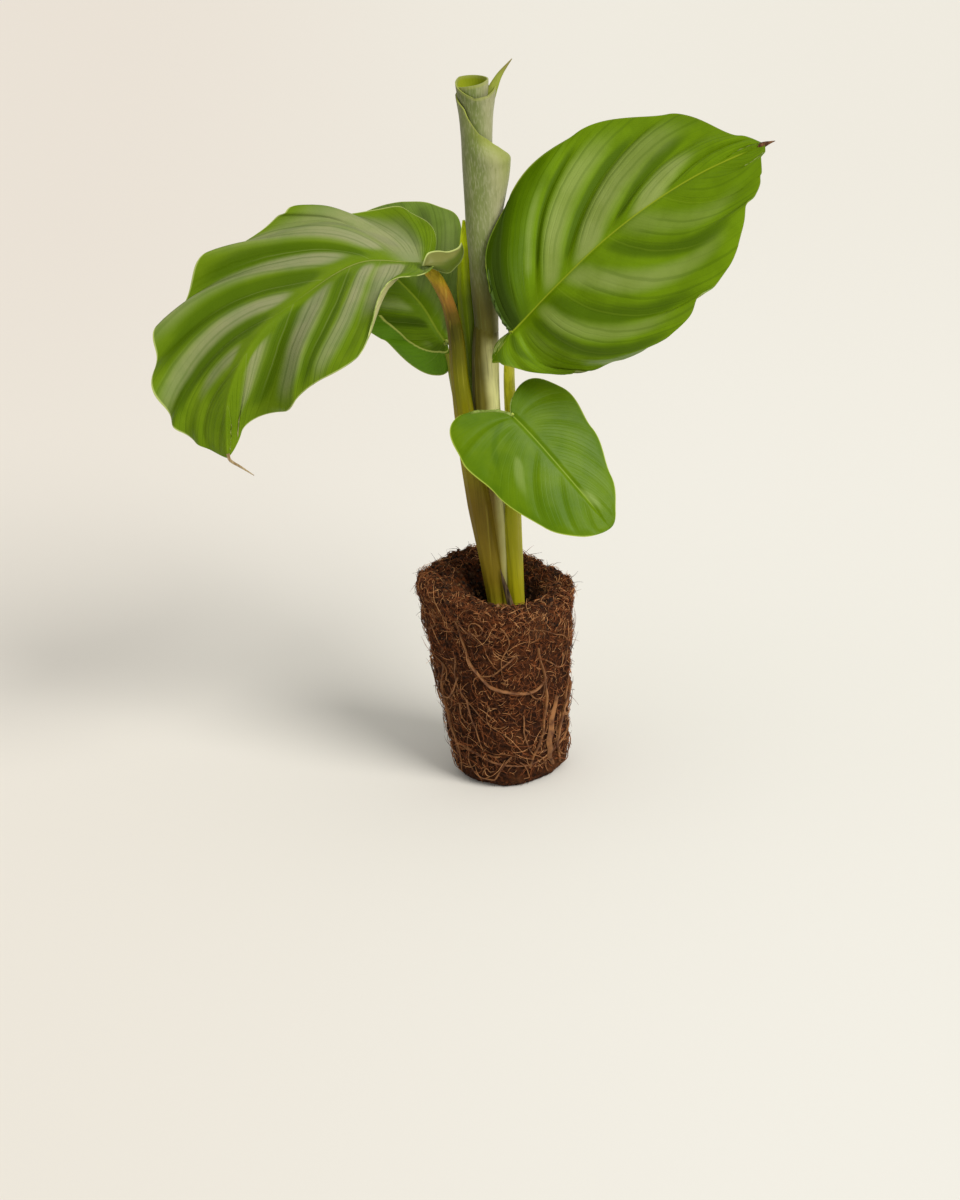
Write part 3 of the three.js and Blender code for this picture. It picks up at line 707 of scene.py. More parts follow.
bladeShape = bladeTree()
for name, node, leaf in (
    ("leafLeft", "leaf_left", leafLeft), ("leafRight", "leaf_right", leafRight),
    ("leafSmall", "leaf_small", leafSmall), ("leafBack", "leaf_back", leafBack),
):
    look = bladeLooks[name]
    piece = addObject(name, leafSheet(name, leaf))
    grow(piece, bladeShape, {
        "Thickness": blade["thickness"] * mm, "Vein depth": look["relief"] * 0.05 * mm,
        "Midrib groove": blade["midribGroove"] * mm, "Midrib keel": blade["midribKeel"] * mm,
        "Midrib width": blade["midribWidth"], "Upper": bladeUpper(name + "Upper", look),
        "Under": bladeUnder(name + "Under", look), "Margin": bladeMargin(name + "Margin", look),
    })
    finishPiece(piece, "blade", node)

# The base of the left leaf's near half turns over and shows its underside in front of the petiole

baseLobe = {
    "upperEdge": [
        (-9.8, -13.6, 127.3), (-9.3, -13, 128.3), (-8.5, -12.2, 129.4), (-7.3, -11, 129.4),
        (-5.9, -9.8, 129), (-4.4, -8.6, 128.3), (-3, -7.4, 128.1), (-1.7, -6, 128.2), (-0.9, -4.8, 128.8),
    ],
    "lowerEdge": [
        (-9.8, -14, 127.2), (-8.3, -13.4, 126.6), (-6.8, -12.4, 125.4), (-5.1, -11.4, 124.3),
        (-3.9, -10.4, 124), (-2.7, -9.4, 124.7), (-1.7, -8.2, 125.2), (-0.9, -6.8, 126),
        (-0.5, -5.6, 127.1), (-0.8, -4.8, 128.6),
    ],
    "bulge": 1.6,
    "rows": 60,
    "columns": 20,
}


def baseLobeSheet():
    rows, columns = baseLobe["rows"], baseLobe["columns"]
    u, v = np.meshgrid(np.linspace(0, 1, rows + 1), np.linspace(0, 1, columns + 1), indexing="ij")
    upper, _ = curveThrough(baseLobe["upperEdge"], u)
    lower, _ = curveThrough(baseLobe["lowerEdge"], u)
    swell = baseLobe["bulge"] * np.sin(np.pi * v) * np.sin(np.pi * u) ** 0.5
    places = upper + (lower - upper) * v[..., None] + swell[..., None] * np.array([0.1, -1, 0.1])
    width = np.linalg.norm(lower - upper, axis=-1)
    far, beyond = np.full_like(u, 9.0), np.full_like(u, -1.0)
    values = {
        "phase": 0.3 + v * 0.35, "across": u, "ribGap": far, "marginGap": np.minimum(v, 1 - v) * width,
        # dark runs up to 2.2 towards the lower edge and the far end: painted shade on the turned-over
        # underside
        "dark": 2.2 * step((0.45 * u + v - 0.4) / 0.6), "silverAndSheen": 0 * u, "foldGap": beyond,
    }
    faces = gridFaces(rows + 1, columns + 1)
    return meshOf("leafLeftLobe", places.reshape(-1, 3), faces, values)


look = dict(bladeLooks["leafLeft"], under=(104, 106, 44), underLight=(122, 124, 60), underDark=(70, 86, 4))
leafLeftLobe = addObject("leafLeftLobe", baseLobeSheet())
grow(leafLeftLobe, bladeShape, {
    "Thickness": 0.3 * mm, "Vein depth": 0.0, "Midrib groove": 0.0, "Midrib keel": 0.0, "Midrib width": 0.1,
    "Upper": bladeUnder("leafLeftLobeUnder", look), "Under": bladeUpper("leafLeftLobeUpper", look),
    "Margin": bladeMargin("leafLeftLobeMargin", look),
})
finishPiece(leafLeftLobe, "blade")
print("leaves grown")


# Stems: a tapering, finely ridged tube along a path

stems = {
    "petioleLeft": {
        "node": "petiole_left", "slot": "petiole", "ridges": 11, "ridgeDepth": 0.035,
        "path": [
            (0.3, -1.9, 36), (-0.3, -2, 50), (-1.9, -2.1, 66), (-3.3, -2.2, 82),
            (-4, -2.4, 96), (-4, -3, 107), (-5.1, -3.8, 115), (-6.9, -4.6, 120.4), (-9.2, -5.1, 124.6),
        ],
        "radii": (2.1, 2.7, 2.9, 2.45, 1.95, 1.75, 1.45, 1.45, 1.4),
        "tones": [
            (38, (160, 154, 30)), (48, (126, 108, 24)), (66, (112, 92, 20)), (80, (140, 132, 20)),
            (96, (104, 104, 4)), (109, (62, 60, 2)), (112.5, (84, 68, 14)), (115.5, (128, 90, 32)),
            (119, (138, 104, 28)), (123, (164, 148, 6)),
        ],
        "streak": (90, 78, 0), "light": (168, 158, 60), "side": (-6.4, -4.6, (176, 140, 50), 0.3),
    },
    "petioleSmall": {
        "node": "petiole_small", "slot": "petiole", "ridges": 9, "ridgeDepth": 0.03,
        "path": [
            (4, -2.4, 36), (4.5, -3, 50), (5.2, -3.8, 64), (6.2, -5.2, 76), (7, -7.2, 84.5),
            (7.2, -8.4, 87.4),
        ],
        "radii": (1.9, 1.9, 1.7, 1.4, 1.1, 0.9),
        "tones": [(38, (176, 168, 22)), (52, (160, 156, 20)), (66, (146, 146, 10)), (86, (138, 150, 8))],
        "streak": (104, 106, 6), "light": (190, 184, 70), "side": (6.4, 4.6, (196, 186, 66), 0.4),
    },
    "mainStalk": {
        "node": "stalk", "slot": "stalk", "ridges": 13, "ridgeDepth": 0.025,
        "path": [
            (1.2, -0.4, 36), (1.6, -0.9, 52), (1.5, -0.6, 70), (1.5, 0.1, 88), (2.1, 0, 99), (2.75, 0, 106),
            (2.95, 0, 109),
        ],
        "radii": (2.5, 3, 3.1, 3, 3, 2.82, 2.3),
        # The darker upper tones are brown skin and painted shade under the leaves.
        "tones": [
            (38, (160, 150, 34)), (56, (134, 118, 34)), (72, (112, 92, 40)), (90, (112, 104, 38)),
            (99, (90, 84, 30)), (106, (78, 74, 22)),
        ],
        # side paints light on the lit right side; sideTo ends it under the leaves.
        "streak": (78, 68, 24), "light": (146, 140, 84), "side": (3.7, 0.9, (232, 230, 158), 1),
        "sideTo": 107,
    },
    "petioleRight": {
        "node": "petiole_right", "slot": "petiole", "ridges": 9, "ridgeDepth": 0.03,
        "path": [
            (4.3, 0.8, 36), (5, 1.2, 52), (6, 1.5, 68), (6.7, 1.1, 84), (7.1, 0, 94.5), (7.8, -2.8, 102.6),
            (8.5, -5.2, 106.2),
        ],
        "radii": (1.8, 1.8, 1.5, 1.35, 1.25, 1.1, 1),
        # The tones are raised to paint light where the petiole lies in the leaf's shade; side paints its lit
        # right side.
        "tones": [(38, (196, 188, 46)), (70, (206, 202, 46)), (90, (204, 202, 40)), (105, (190, 194, 30))],
        "streak": (98, 100, 4), "light": (184, 184, 60), "side": (8.6, 6.6, (214, 210, 84), 0.8),
    },
    "petioleBack": {
        "node": "petiole_back", "slot": "petiole", "ridges": 9, "ridgeDepth": 0.03,
        "path": [
            (-0.6, 2.4, 36), (-1.6, 2.8, 58), (-3.4, 3, 78), (-4.8, 3, 92), (-5.3, 3, 97.6),
            (-5.8, 3.2, 101),
        ],
        "radii": (1.5, 1.5, 1.4, 1.25, 1.2, 1),
        "tones": [(38, (136, 136, 34)), (80, (116, 116, 24)), (100, (120, 130, 30))],
        "streak": (80, 82, 10), "light": (160, 154, 60), "side": (-7, -5, (150, 150, 50), 0.4),
    },
    "youngShoot": {
        "node": "shoot", "slot": "petiole", "ridges": 7, "ridgeDepth": 0.03,
        "path": [
            (1.4, 3.6, 36), (0.8, 3.6, 60), (-0.1, 3.3, 84), (-0.4, 2.9, 102), (-0.5, 2.7, 116),
            (0, 2.7, 126), (0.1, 2.8, 131.6),
        ],
        "radii": (1.5, 1.8, 2, 2.35, 2.3, 1.3, 0.3),
        # The top tones are raised to paint light on the shoot, which stands in the roll's shade.
        "tones": [
            (60, (90, 92, 14)), (88, (92, 112, 0)), (104, (78, 96, 0)), (114, (84, 102, 0)),
            (121, (144, 164, 0)), (127, (206, 224, 10)),
        ],
        "streak": (88, 104, 0), "light": (166, 180, 20), "side": (-3.2, -1.4, (176, 188, 8), 0.4),
    },
}


def stemTree():
    given = newTree("stemAlongPath", ("Ridge depth",), ("Sides", "Ridges"))
    track = built("GeometryNodeMeshToCurve", {0: given["Geometry"]})
    ring = built("GeometryNodeCurvePrimitiveCircle", {"Resolution": given["Sides"], "Radius": 1})
    share = calc("DIVIDE", built("GeometryNodeInputIndex"), given["Sides"])
    turn = times(times(share, given["Ridges"]), 2 * math.pi)
    lift = times(calc("COSINE", turn), given["Ridge depth"])
    spot = built("GeometryNodeInputPosition")
    ridged = built("GeometryNodeSetPosition", {0: ring, "Offset": scaled(spot, lift)})
    tube = built("GeometryNodeCurveToMesh", {
        "Curve": track, "Profile Curve": ridged, "Scale": named("radius"), "Fill Caps": True,
    })
    return endTree(given, tube)


def tracksMesh(name, tracks):
    # each track as a line of points, where every point has its own radius in metres
    edges, start = [], 0
    for places, _ in tracks:
        edges += [(start + i, start + i + 1) for i in range(len(places) - 1)]
        start += len(places)
    points, radii = (np.concatenate(part) for part in zip(*tracks))
    return meshOf(name, points, [], {"radius": radii * mm}, edges)


def stemTrack(path, radii, pointsPerSpan=8):
    t = np.linspace(0, 1, (len(path) - 1) * pointsPerSpan + 1)
    return curveThrough(path, t)[0], blendLinear(radii, t)


def blendLinear(steps, t):
    return np.interp(np.asarray(t) * (len(steps) - 1), np.arange(len(steps)), steps)


def stemFinish(name, look):
    # tones are colours by height, and side tints the skin towards one side: from, to, colour, share. On the
    # stalk and the right petiole the side tint is painted light on the lit right side, and sideTo fades the
    # stalk's out towards the top, in painted shade under the leaves. Some tones are raised to paint light
    # where a stem lies in shade.
    material, place = newMaterial(name + "Skin", 0.42, 0.12)
    spot = addNode("ShaderNodeSeparateXYZ", {0: place}).outputs
    unevenness = times(calc("SUBTRACT", noise(place, 160), 0.5), 0.006)
    height = plus(spot["Z"], unevenness)
    colour = look["tones"][0][1]
    for (low, _), (high, tone) in zip(look["tones"], look["tones"][1:]):
        colour = mixColour(ramp(height, low * mm, high * mm), colour, tone)
    low, high, tone, strength = look["side"]
    lit = ramp(plus(spot["X"], times(unevenness, 0.15)), high * mm, low * mm, 0, strength)
    if "sideTo" in look:
        lit = times(lit, ramp(height, look["sideTo"] * mm, (look["sideTo"] - 8) * mm))
    lines = noise(place, (1400, 1400, 22), 3, 0.6)
    colour = paint(
        colour,
        (lit, tone),
        (ramp(lines, 0.5, 0.72, 0, 0.55), look["streak"]),
        (ramp(lines, 0.42, 0.25, 0, 0.45), look["light"]),
        (ramp(noise(place, (500, 500, 160), 2), 0.7, 0.76, 0, 0.3), (92, 62, 24)),
    )
    return finished(material, colour, lines, 0.00025, 0.5)


stemShape = stemTree()
for name, look in stems.items():
    piece = addObject(name, tracksMesh(name, [stemTrack(look["path"], look["radii"])]))
    grow(piece, stemShape, {
        "Sides": look["ridges"] * 4, "Ridges": look["ridges"], "Ridge depth": look["ridgeDepth"],
        "Finish": stemFinish(name, look),
    })
    finishPiece(piece, look["slot"], look["node"])
print("stems grown")


# The rolled leaf: one sheet wound round its own axis from the inside out. Its free margin flares into a
# corner, winds back up round the roll and ends at the top, where the leaf's pointed tip stands.

roll = {
    "axis": [(2.8, 0, 106.4), (3.4, 0, 120), (3.9, 0, 134), (4.6, 0, 148.2), (5.5, 0, 164.1)],
    "radii": (2.2, 2.75, 3.15, 3.4, 4.1),  # at one and a half turns, from the foot to the top
    "pitch": 0.9,
    "thickness": 0.36,
    "startAngle": -24,
    "innerTurn": -0.45,
    "marginAt": (0, 0.58, 0.69, 0.73, 0.768, 0.803, 0.824, 0.85, 0.88, 0.912, 0.94, 0.965, 0.985, 1),
    "marginTurns": (2.12, 2.12, 2.1, 2.06, 2, 1.904, 1.827, 1.778, 1.725, 1.697, 1.6, 1.4, 1.2, 1.06),
    "flare": 3.1,
    "flareFrom": 0.33,
    "flareTo": 0.71,
    "flareEnd": 0.8,
    "flareTurns": 0.34,
    "rimTurns": (-0.45, -0.2, 0, 0.45, 0.62, 0.8, 0.92, 1.06),
    "rimDrop": (1.5, 0.6, 0, 0, 1.2, 3, 2.6, 1.2),
    "lip": 0.65,
    "innerShift": 0.9,
    "columns": 270,
    "rows": 130,
    "tipPath": [
        (7.3, -0.5, 158.4), (8.3, -0.4, 160.4), (9.3, -0.2, 162.4), (10.9, 0, 164.9), (13.7, 0, 168),
    ],
    "tipRadii": (0.9, 1.25, 1, 0.6, 0.08),
    "tipFlatness": 0.22,
}


def rollPlaces(share, height, offset):
    outermost = np.interp(height, roll["marginAt"], roll["marginTurns"])
    turn = roll["innerTurn"] + (outermost - roll["innerTurn"]) * share
    top = step((height - 0.8) / 0.2)
    length = roll["axis"][-1][2] - roll["axis"][0][2]
    height = height - np.interp(turn, roll["rimTurns"], roll["rimDrop"]) / length * top * (turn < 1.3)
    centre, along = curveThrough(roll["axis"], height)
    across = unit(np.array([1.0, 0, 0]) - along * along[..., :1])
    depth = np.cross(along, across)
    angle = math.radians(roll["startAngle"]) + 2 * np.pi * turn
    rising = step((height - roll["flareFrom"]) / (roll["flareTo"] - roll["flareFrom"]))
    ending = step((roll["flareEnd"] - height) / (roll["flareEnd"] - roll["flareTo"]))
    flare = roll["flare"] * rising * ending * step(1 - (outermost - turn) / roll["flareTurns"])
    lip = roll["lip"] * step((height - 0.86) / 0.14)
    radius = blend(roll["radii"], height) + roll["pitch"] * (turn - 1.5) + flare + lip + offset
    centre = centre - across * (roll["innerShift"] * top * (1 - step((turn - 0.3) / 0.6)))[..., None]
    out = across * np.cos(angle)[..., None] + depth * np.sin(angle)[..., None]
    return centre + out * radius[..., None]


def rolledSheet():
    columns, rows = roll["columns"], roll["rows"]
    share, height = np.meshgrid(np.linspace(0, 1, columns + 1), np.linspace(0, 1, rows + 1), indexing="ij")
    outer = rollPlaces(share, height, roll["thickness"] / 2)
    inner = rollPlaces(share, height, -roll["thickness"] / 2)
    ring = np.concatenate([outer, inner[:, ::-1]], axis=1)
    around = ring.shape[1]
    faces = [face[::-1] for face in gridFaces(columns + 1, around, closed=True)]
    last = columns * around
    for j in range(rows):
        k = around - 1 - j
        faces.append((j, j + 1, k - 1, k))
        faces.append((last + j, last + k, last + k - 1, last + j + 1))
    tall = np.concatenate([height, height[:, ::-1]], axis=1)
    inside = np.concatenate([np.zeros_like(share), np.ones_like(share)], axis=1)
    free = np.concatenate([1 - share, 1 - share[:, ::-1]], axis=1)
    return ring.reshape(-1, 3), faces, {"height": tall, "inside": inside, "freeMargin": free}


def flatTaper(path, radii, flatness, sides=20, stepsPerSpan=8, hollow=0.0):
    # a flattened, tapering blade along a path, with its ends closed
    count = (len(path) - 1) * stepsPerSpan + 1
    t = np.linspace(0, 1, count)
    centre, along = curveThrough(path, t)
    across = unit(np.array([1.0, 0, 0]) - along * along[..., :1])
    depth = np.cross(along, across)
    radius = blendLinear(radii, t)[:, None, None]
    angle = np.linspace(0, 2 * np.pi, sides, endpoint=False)
    wide = np.cos(angle)[None, :, None]
    thick = (np.sin(angle) * flatness - hollow * (1 - np.cos(angle) ** 2))[None, :, None]
    points = centre[:, None] + radius * (across[:, None] * wide + depth[:, None] * thick)
    faces = gridFaces(count, sides, closed=True)
    faces.append(tuple(range(sides - 1, -1, -1)))
    faces.append(tuple((count - 1) * sides + j for j in range(sides)))
    return points.reshape(-1, 3), faces


def rolledFinish():
    material, place = newMaterial("rolledSkin", 0.5, 0.2)
    height, free = attribute("height"), attribute("freeMargin")
    sideways = addNode("ShaderNodeSeparateXYZ", {0: place}).outputs["X"]
    long = noise(place, (1500, 1500, 60), 3, 0.6)
    grain = noise(place, (3000, 3000, 520), 2, 0.6)
    cloudy = ramp(noise(place, (200, 200, 60), 3), 0.3, 0.7)
    # The foot is darker: brown skin and painted shade. Its right side is lighter in painted light.
    low = mixColour(cloudy, (74, 70, 12), (88, 84, 22))
    low = mixColour(ramp(sideways, 0.0042, 0.006), low, (118, 116, 58))
    shadedSide = times(ramp(sideways, 0.003, 0, 0, 0.6), ramp(height, 0.4, 0.65))
    flecks = times(ramp(grain, 0.56, 0.3, 0, 0.4), ramp(height, 0.1, 0.4))
    nearMargin = times(ramp(free, 0, 0.1, 0.75, 0), ramp(height, 0.5, 0.72))
    nearMargin = times(nearMargin, ramp(sideways, 0.003, 0.0065, 0.2, 1))
    rim = calc("MAXIMUM", ramp(free, 0.002, 0.006, 1, 0), ramp(height, 0.985, 0.997))
    colour = paint(
        mixColour(cloudy, (104, 118, 54), (132, 138, 92)),
        (ramp(height, 0.08, 0.4, 1, 0), low),
        # painted light: the roll turns pale on its right side
        (ramp(sideways, 0.0045, 0.0085, 0, 0.7), (170, 166, 132)),
        (shadedSide, (84, 82, 50)),
        (ramp(long, 0.5, 0.72, 0, 0.45), (96, 106, 50)),
        (flecks, (172, 172, 138)),
        (nearMargin, (138, 148, 52)),
        (attribute("inside"), mixColour(cloudy, (132, 146, 12), (156, 166, 36))),
        (times(rim, 0.55), (154, 160, 80)),
    )
    shader = shaderInputs(material)
    shader["Sheen Weight"].default_value = 0.15
    shader["Sheen Roughness"].default_value = 0.4
    return finished(material, colour, plus(long, times(grain, 0.4)), 0.00016, 0.6)


def tipFinish():
    material, place = newMaterial("rolledTipSkin", 0.5, 0.4)
    height = addNode("ShaderNodeSeparateXYZ", {0: place}).outputs["Z"]
    lines = noise(place, (1500, 1500, 60), 3)
    colour = mixColour(lines, (122, 134, 20), (150, 158, 62))
    colour = mixColour(ramp(height, 0.164, 0.168, 0, 0.8), colour, (124, 104, 60))
    return finished(material, colour, lines, 0.0001, 0.5)


rolledLeaf = addShape("rolledLeaf", meshOf("rolledLeaf", *rolledSheet()), rolledFinish())
rolledLeaf.data.set_sharp_from_angle(angle=sharpAngle)
finishPiece(rolledLeaf, "rolled", "rolled_leaf")

tip = flatTaper(roll["tipPath"], roll["tipRadii"], roll["tipFlatness"], hollow=0.25)
finishPiece(addShape("rolledTip", meshOf("rolledTip", *tip), tipFinish()), "rolled")
print("rolled leaf wound")


# Dry tips and the dry bract at the foot of the stems

dryPieces = {
    "dryTipLeft": {
        "path": [(-56, -26, 92.2), (-55.6, -26, 90.6), (-53.4, -26.2, 88.9), (-50.8, -26.4, 86.8)],
        "radii": (0.4, 0.34, 0.26, 0.08), "flatness": 0.6, "tones": ((124, 98, 62), (176, 158, 120)),
    },
    "dryTipRight": {
        "path": [(65.2, -11.9, 146.4), (66, -11.9, 146.8), (67.2, -11.9, 147.2), (68.9, -12, 147.6)],
        "radii": (0.35, 0.75, 0.5, 0.08), "flatness": 0.45, "tones": ((64, 34, 18), (122, 84, 50)),
    },
    "dryBract": {
        "path": [(3.3, -5, 36.5), (2.9, -5.4, 42), (2, -5.3, 47), (1.3, -5.1, 51)],
        "radii": (1.1, 0.8, 0.5, 0.1), "flatness": 0.35, "nodes": ("dry_bract",),
        "tones": ((30, 20, 14), (116, 96, 66)),
    },
}


def dryFinish(name, tones):
    material, place = newMaterial(name + "Skin", 0.8, 0.25)
    lines = noise(place, (1300, 1300, 120), 4, 0.65)
    colour = mixColour(ramp(lines, 0.38, 0.66), tones[0], tones[1])
    return finished(material, colour, lines, 0.0003, 0.8)


for name, look in dryPieces.items():
    shape = flatTaper(look["path"], look["radii"], look["flatness"], sides=14, hollow=0.2)
    piece = addShape(name, meshOf(name, *shape), dryFinish(name, look["tones"]))
    finishPiece(piece, "dry", *look.get("nodes", ()))


# The plug

coirPlug = {
    "height": 46.3,
    "footRadius": 12.8,
    "rimRadius": 17,
    "footRounding": 1,
    "squareness": 0.045,
    "rimTilt": (-0.15, 0.11),
    "hollowRadius": 10,
    "hollowDepth": 5.5,
    "hollowCentre": (1.6, -0.8),
    "columns": 280,
    "wallRows": 100,
    "topRows": 42,
    "grain": 0.27,
    "inset": 0.45,  # leaves room for the loose fibres
    "firstRing": 0.35,
    "rimRounding": 0.7,
    "raggedness": 0.45,
    "topRoughness": 0.55,
    "seed": 7,
}
ripples = {"count": 90, "around": (6, 75), "upward": 4, "fade": 0.35, "height": 1.8}


def lumps(a, b):
    # slow swells, as heights for how often they turn with a and with b
    swells = ((0.4, 3, 1.3, 0), (0.35, 7, -2.1, 1), (0.25, 11, 3.7, 2))
    return sum(height * np.sin(turns * a + rises * b + start) for height, turns, rises, start in swells)


def grain(angle, z, seed):
    # fine uneven texture that closes on itself round the plug: many small ripples in random directions
    draw = np.random.default_rng(seed)
    total = np.zeros(np.shape(angle))
    for _ in range(ripples["count"]):
        around = int(draw.integers(*ripples["around"]))
        upward = draw.uniform(-ripples["upward"], ripples["upward"])
        start = draw.uniform(0, 6.28)
        total = total + np.sin(around * angle + upward * z + start) / around ** ripples["fade"]
    return total / math.sqrt(ripples["count"]) * ripples["height"]


def wallRadius(angle, z):
    share = z / coirPlug["height"]
    taper = coirPlug["footRadius"] + (coirPlug["rimRadius"] - coirPlug["footRadius"]) * share
    shape = 1 + coirPlug["squareness"] * (0.6 + share) * np.cos(4 * angle)
    return taper * shape + 0.3 * lumps(angle, z * 0.35) - coirPlug["inset"]


def topHeight(x, y):
    centreX, centreY = coirPlug["hollowCentre"]
    far = np.hypot(x - centreX, y - centreY) / coirPlug["hollowRadius"]
    hollow = coirPlug["hollowDepth"] * (1 - step((far - 0.45) / 0.75))
    tilt = coirPlug["rimTilt"][0] * x + coirPlug["rimTilt"][1] * y
    return coirPlug["height"] + tilt - hollow + 0.3 * lumps(x * 0.25, y * 0.6)


def plugMesh():
    angle = np.linspace(0, 2 * np.pi, coirPlug["columns"], endpoint=False)
    rings, depths = [], []

    def addRing(radius, z, depth):
        rings.append(np.stack([radius * np.cos(angle), radius * np.sin(angle), z + 0 * angle], axis=-1))
        depths.append(depth + 0 * angle)

    seed, floor = coirPlug["seed"], coirPlug["footRounding"]
    for share in (0.02, 0.35, 0.7, 0.9):
        addRing((wallRadius(angle, 0) - floor) * share, 0 * angle, 0.0)
    lip = topHeight(np.cos(angle) * coirPlug["rimRadius"], np.sin(angle) * coirPlug["rimRadius"])
    for i in range(coirPlug["wallRows"]):
        share = i / coirPlug["wallRows"]
        z = coirPlug["firstRing"] + (lip - coirPlug["firstRing"] - coirPlug["rimRounding"]) * share
        rounding = floor * (1 - step(z / floor / 1.6))
        radius = wallRadius(angle, z) - rounding + coirPlug["grain"] * grain(angle, z, seed)
        addRing(radius, z, 0.0)
    ragged = coirPlug["raggedness"] * grain(angle, 0 * angle, seed + 1)
    for i in range(coirPlug["topRows"]):
        share = 1 - i / coirPlug["topRows"] - (0 if i else 0.02)
        radius = (wallRadius(angle, coirPlug["height"]) + 0.15 * ragged) * share
        x, y = radius * np.cos(angle), radius * np.sin(angle)
        rough = coirPlug["topRoughness"] * grain(angle, radius * 0.9, seed + 2) * min(1, share * 2.2)
        z = topHeight(x, y) + rough + ragged * step((share - 0.75) / 0.25)
        addRing(radius, z, np.clip((coirPlug["height"] - 1.2 - topHeight(x, y)) / 3.5, 0, 1))
    points = np.concatenate(rings)
    faces = gridFaces(len(rings), coirPlug["columns"], closed=True)
    last = (len(rings) - 1) * coirPlug["columns"]
    faces.append(tuple(range(coirPlug["columns"] - 1, -1, -1)))
    faces.append(tuple(last + j for j in range(coirPlug["columns"])))
    return meshOf("coirPlug", points, faces, {"depth": np.concatenate(depths)})


def coirFinish():
    material, place = newMaterial("coirFibre", 0.9, 0.1)
    matted = noise(place, (600, 600, 900), 5, 0.75)
    crumbs = addNode("ShaderNodeTexVoronoi", {"Vector": place, "Scale": 950.0}).outputs["Distance"]
    height = addNode("ShaderNodeSeparateXYZ", {0: place}).outputs["Z"]
    colour = paint(
        mixColour(ramp(matted, 0.36, 0.62), (28, 13, 5), (118, 64, 31)),
        (ramp(crumbs, 0.2, 0.6, 0, 0.6), (38, 20, 10)),
        (ramp(noise(place, 130), 0.5, 0.72, 0, 0.5), (130, 82, 46)),
        (ramp(height, 0.037, 0.022, 0, 0.4), (40, 22, 12)),
        # painted shade: the hollow darkens with its depth
        (times(attribute("depth"), 0.85), (18, 10, 6)),
    )
    return finished(material, colour, plus(matted, times(crumbs, 0.6)), 0.0012)


rootPlug = addShape("rootPlug", plugMesh(), coirFinish())
finishPiece(rootPlug, "coir", "root_plug")
print("plug pressed")


# Loose coir fibres all over the plug

fibres = {
    "matted": {
        "density": 1.45, "length": (0.8, 2.6), "radius": 0.055, "lift": 0.3, "tilt": 0.5, "segments": 4,
        "seed": 11,
    },
    "trailing": {
        "density": 0.2, "length": (3.5, 9), "radius": 0.06, "lift": 0.1, "tilt": 0.06, "segments": 9,
        "seed": 14,
    },
    "rim": {
        "density": 2.3, "length": (0.7, 2.6), "radius": 0.06, "lift": 0.35, "tilt": 0.7, "segments": 4,
        "seed": 12,
    },
}
fibreWander = 0.8


def randomBetween(low, high, seed, **settings):
    pair = (0, 1) if settings else (2, 3)
    inputs = {pair[0]: low, pair[1]: high, "Seed": seed}
    return addNode("FunctionNodeRandomValue", inputs, **settings).outputs[0 if settings else 1]


def offCentre(scale):
    # a soft random drift, as a vector round zero
    drift = addNode("ShaderNodeTexNoise", {"Scale": scale, "Detail": 1.0}).outputs["Color"]
    return built("ShaderNodeVectorMath", {0: drift, 1: (0.5, 0.5, 0.5)}, operation="SUBTRACT")


def scatterTree(name, floats=(), ints=()):
    # spots all over the mesh it is given
    given = newTree(name, ("Density", "Smallest", "Largest", *floats), ("Seed", *ints))
    spots = addNode("GeometryNodeDistributePointsOnFaces", {
        "Mesh": given["Geometry"], "Density": given["Density"], "Seed": given["Seed"],
    }, distribute_method="RANDOM").outputs
    return given, spots


def laidOut(given, spots, shape, rotation):
    # the shape on every spot, in random sizes, each with its own shade
    size = randomBetween(given["Smallest"], given["Largest"], plus(given["Seed"], 1))
    laid = built("GeometryNodeInstanceOnPoints", {
        "Points": spots[0], "Instance": shape, "Rotation": rotation, "Scale": size,
    })
    shaded = built("GeometryNodeStoreNamedAttribute", {
        0: laid, "Name": "shade", "Value": randomBetween(0, 1, plus(given["Seed"], 2)),
    }, data_type="FLOAT", domain="INSTANCE")
    return built("GeometryNodeRealizeInstances", {0: shaded})


def scattered(look, finish):
    # what every scatter tree is given
    smallest, largest = look["length"]
    return {
        "Density": look["density"] * perSquareMetre, "Smallest": smallest * mm, "Largest": largest * mm,
        "Seed": look["seed"], "Finish": finish,
    }


def turned(rotation, axis, angle):
    turn = built("FunctionNodeAxisAngleToRotation", {"Axis": axis, "Angle": angle})
    both = {0: rotation, 1: turn}
    return built("FunctionNodeRotateRotation", both, rotation_space="LOCAL")


def fibreTree():
    given, spots = scatterTree("looseFibres", ("Radius", "Lift", "Tilt", "Wander"), ("Segments",))
    strand = built("GeometryNodeCurveQuadraticBezier", {
        "Resolution": given["Segments"], "Start": (-0.5, 0, 0), "End": (0.5, 0, 0),
        "Middle": built("ShaderNodeCombineXYZ", {"Y": 0.25, "Z": given["Lift"]}),
    })
    spin = randomBetween(0, 2 * math.pi, given["Seed"])
    leftmost = times(given["Tilt"], -1)
    lean = randomBetween(leftmost, given["Tilt"], plus(given["Seed"], 5))
    pose = turned(turned(spots["Rotation"], (0, 0, 1), spin), (0, 1, 0), lean)
    wavy = built("GeometryNodeSetPosition", {
        0: laidOut(given, spots, strand, pose), "Offset": scaled(offCentre(260), given["Wander"]),
    })
    along = addNode("GeometryNodeSplineParameter").outputs["Factor"]
    thin = ramp(calc("PINGPONG", along, 0.5), 0, 0.3, 0.35, 1)
    ring = built("GeometryNodeCurvePrimitiveCircle", {"Resolution": 3, "Radius": 1})
    tube = built("GeometryNodeCurveToMesh", {
        "Curve": wavy, "Profile Curve": ring, "Scale": times(thin, given["Radius"]), "Fill Caps": True,
    })
    return endTree(given, tube)


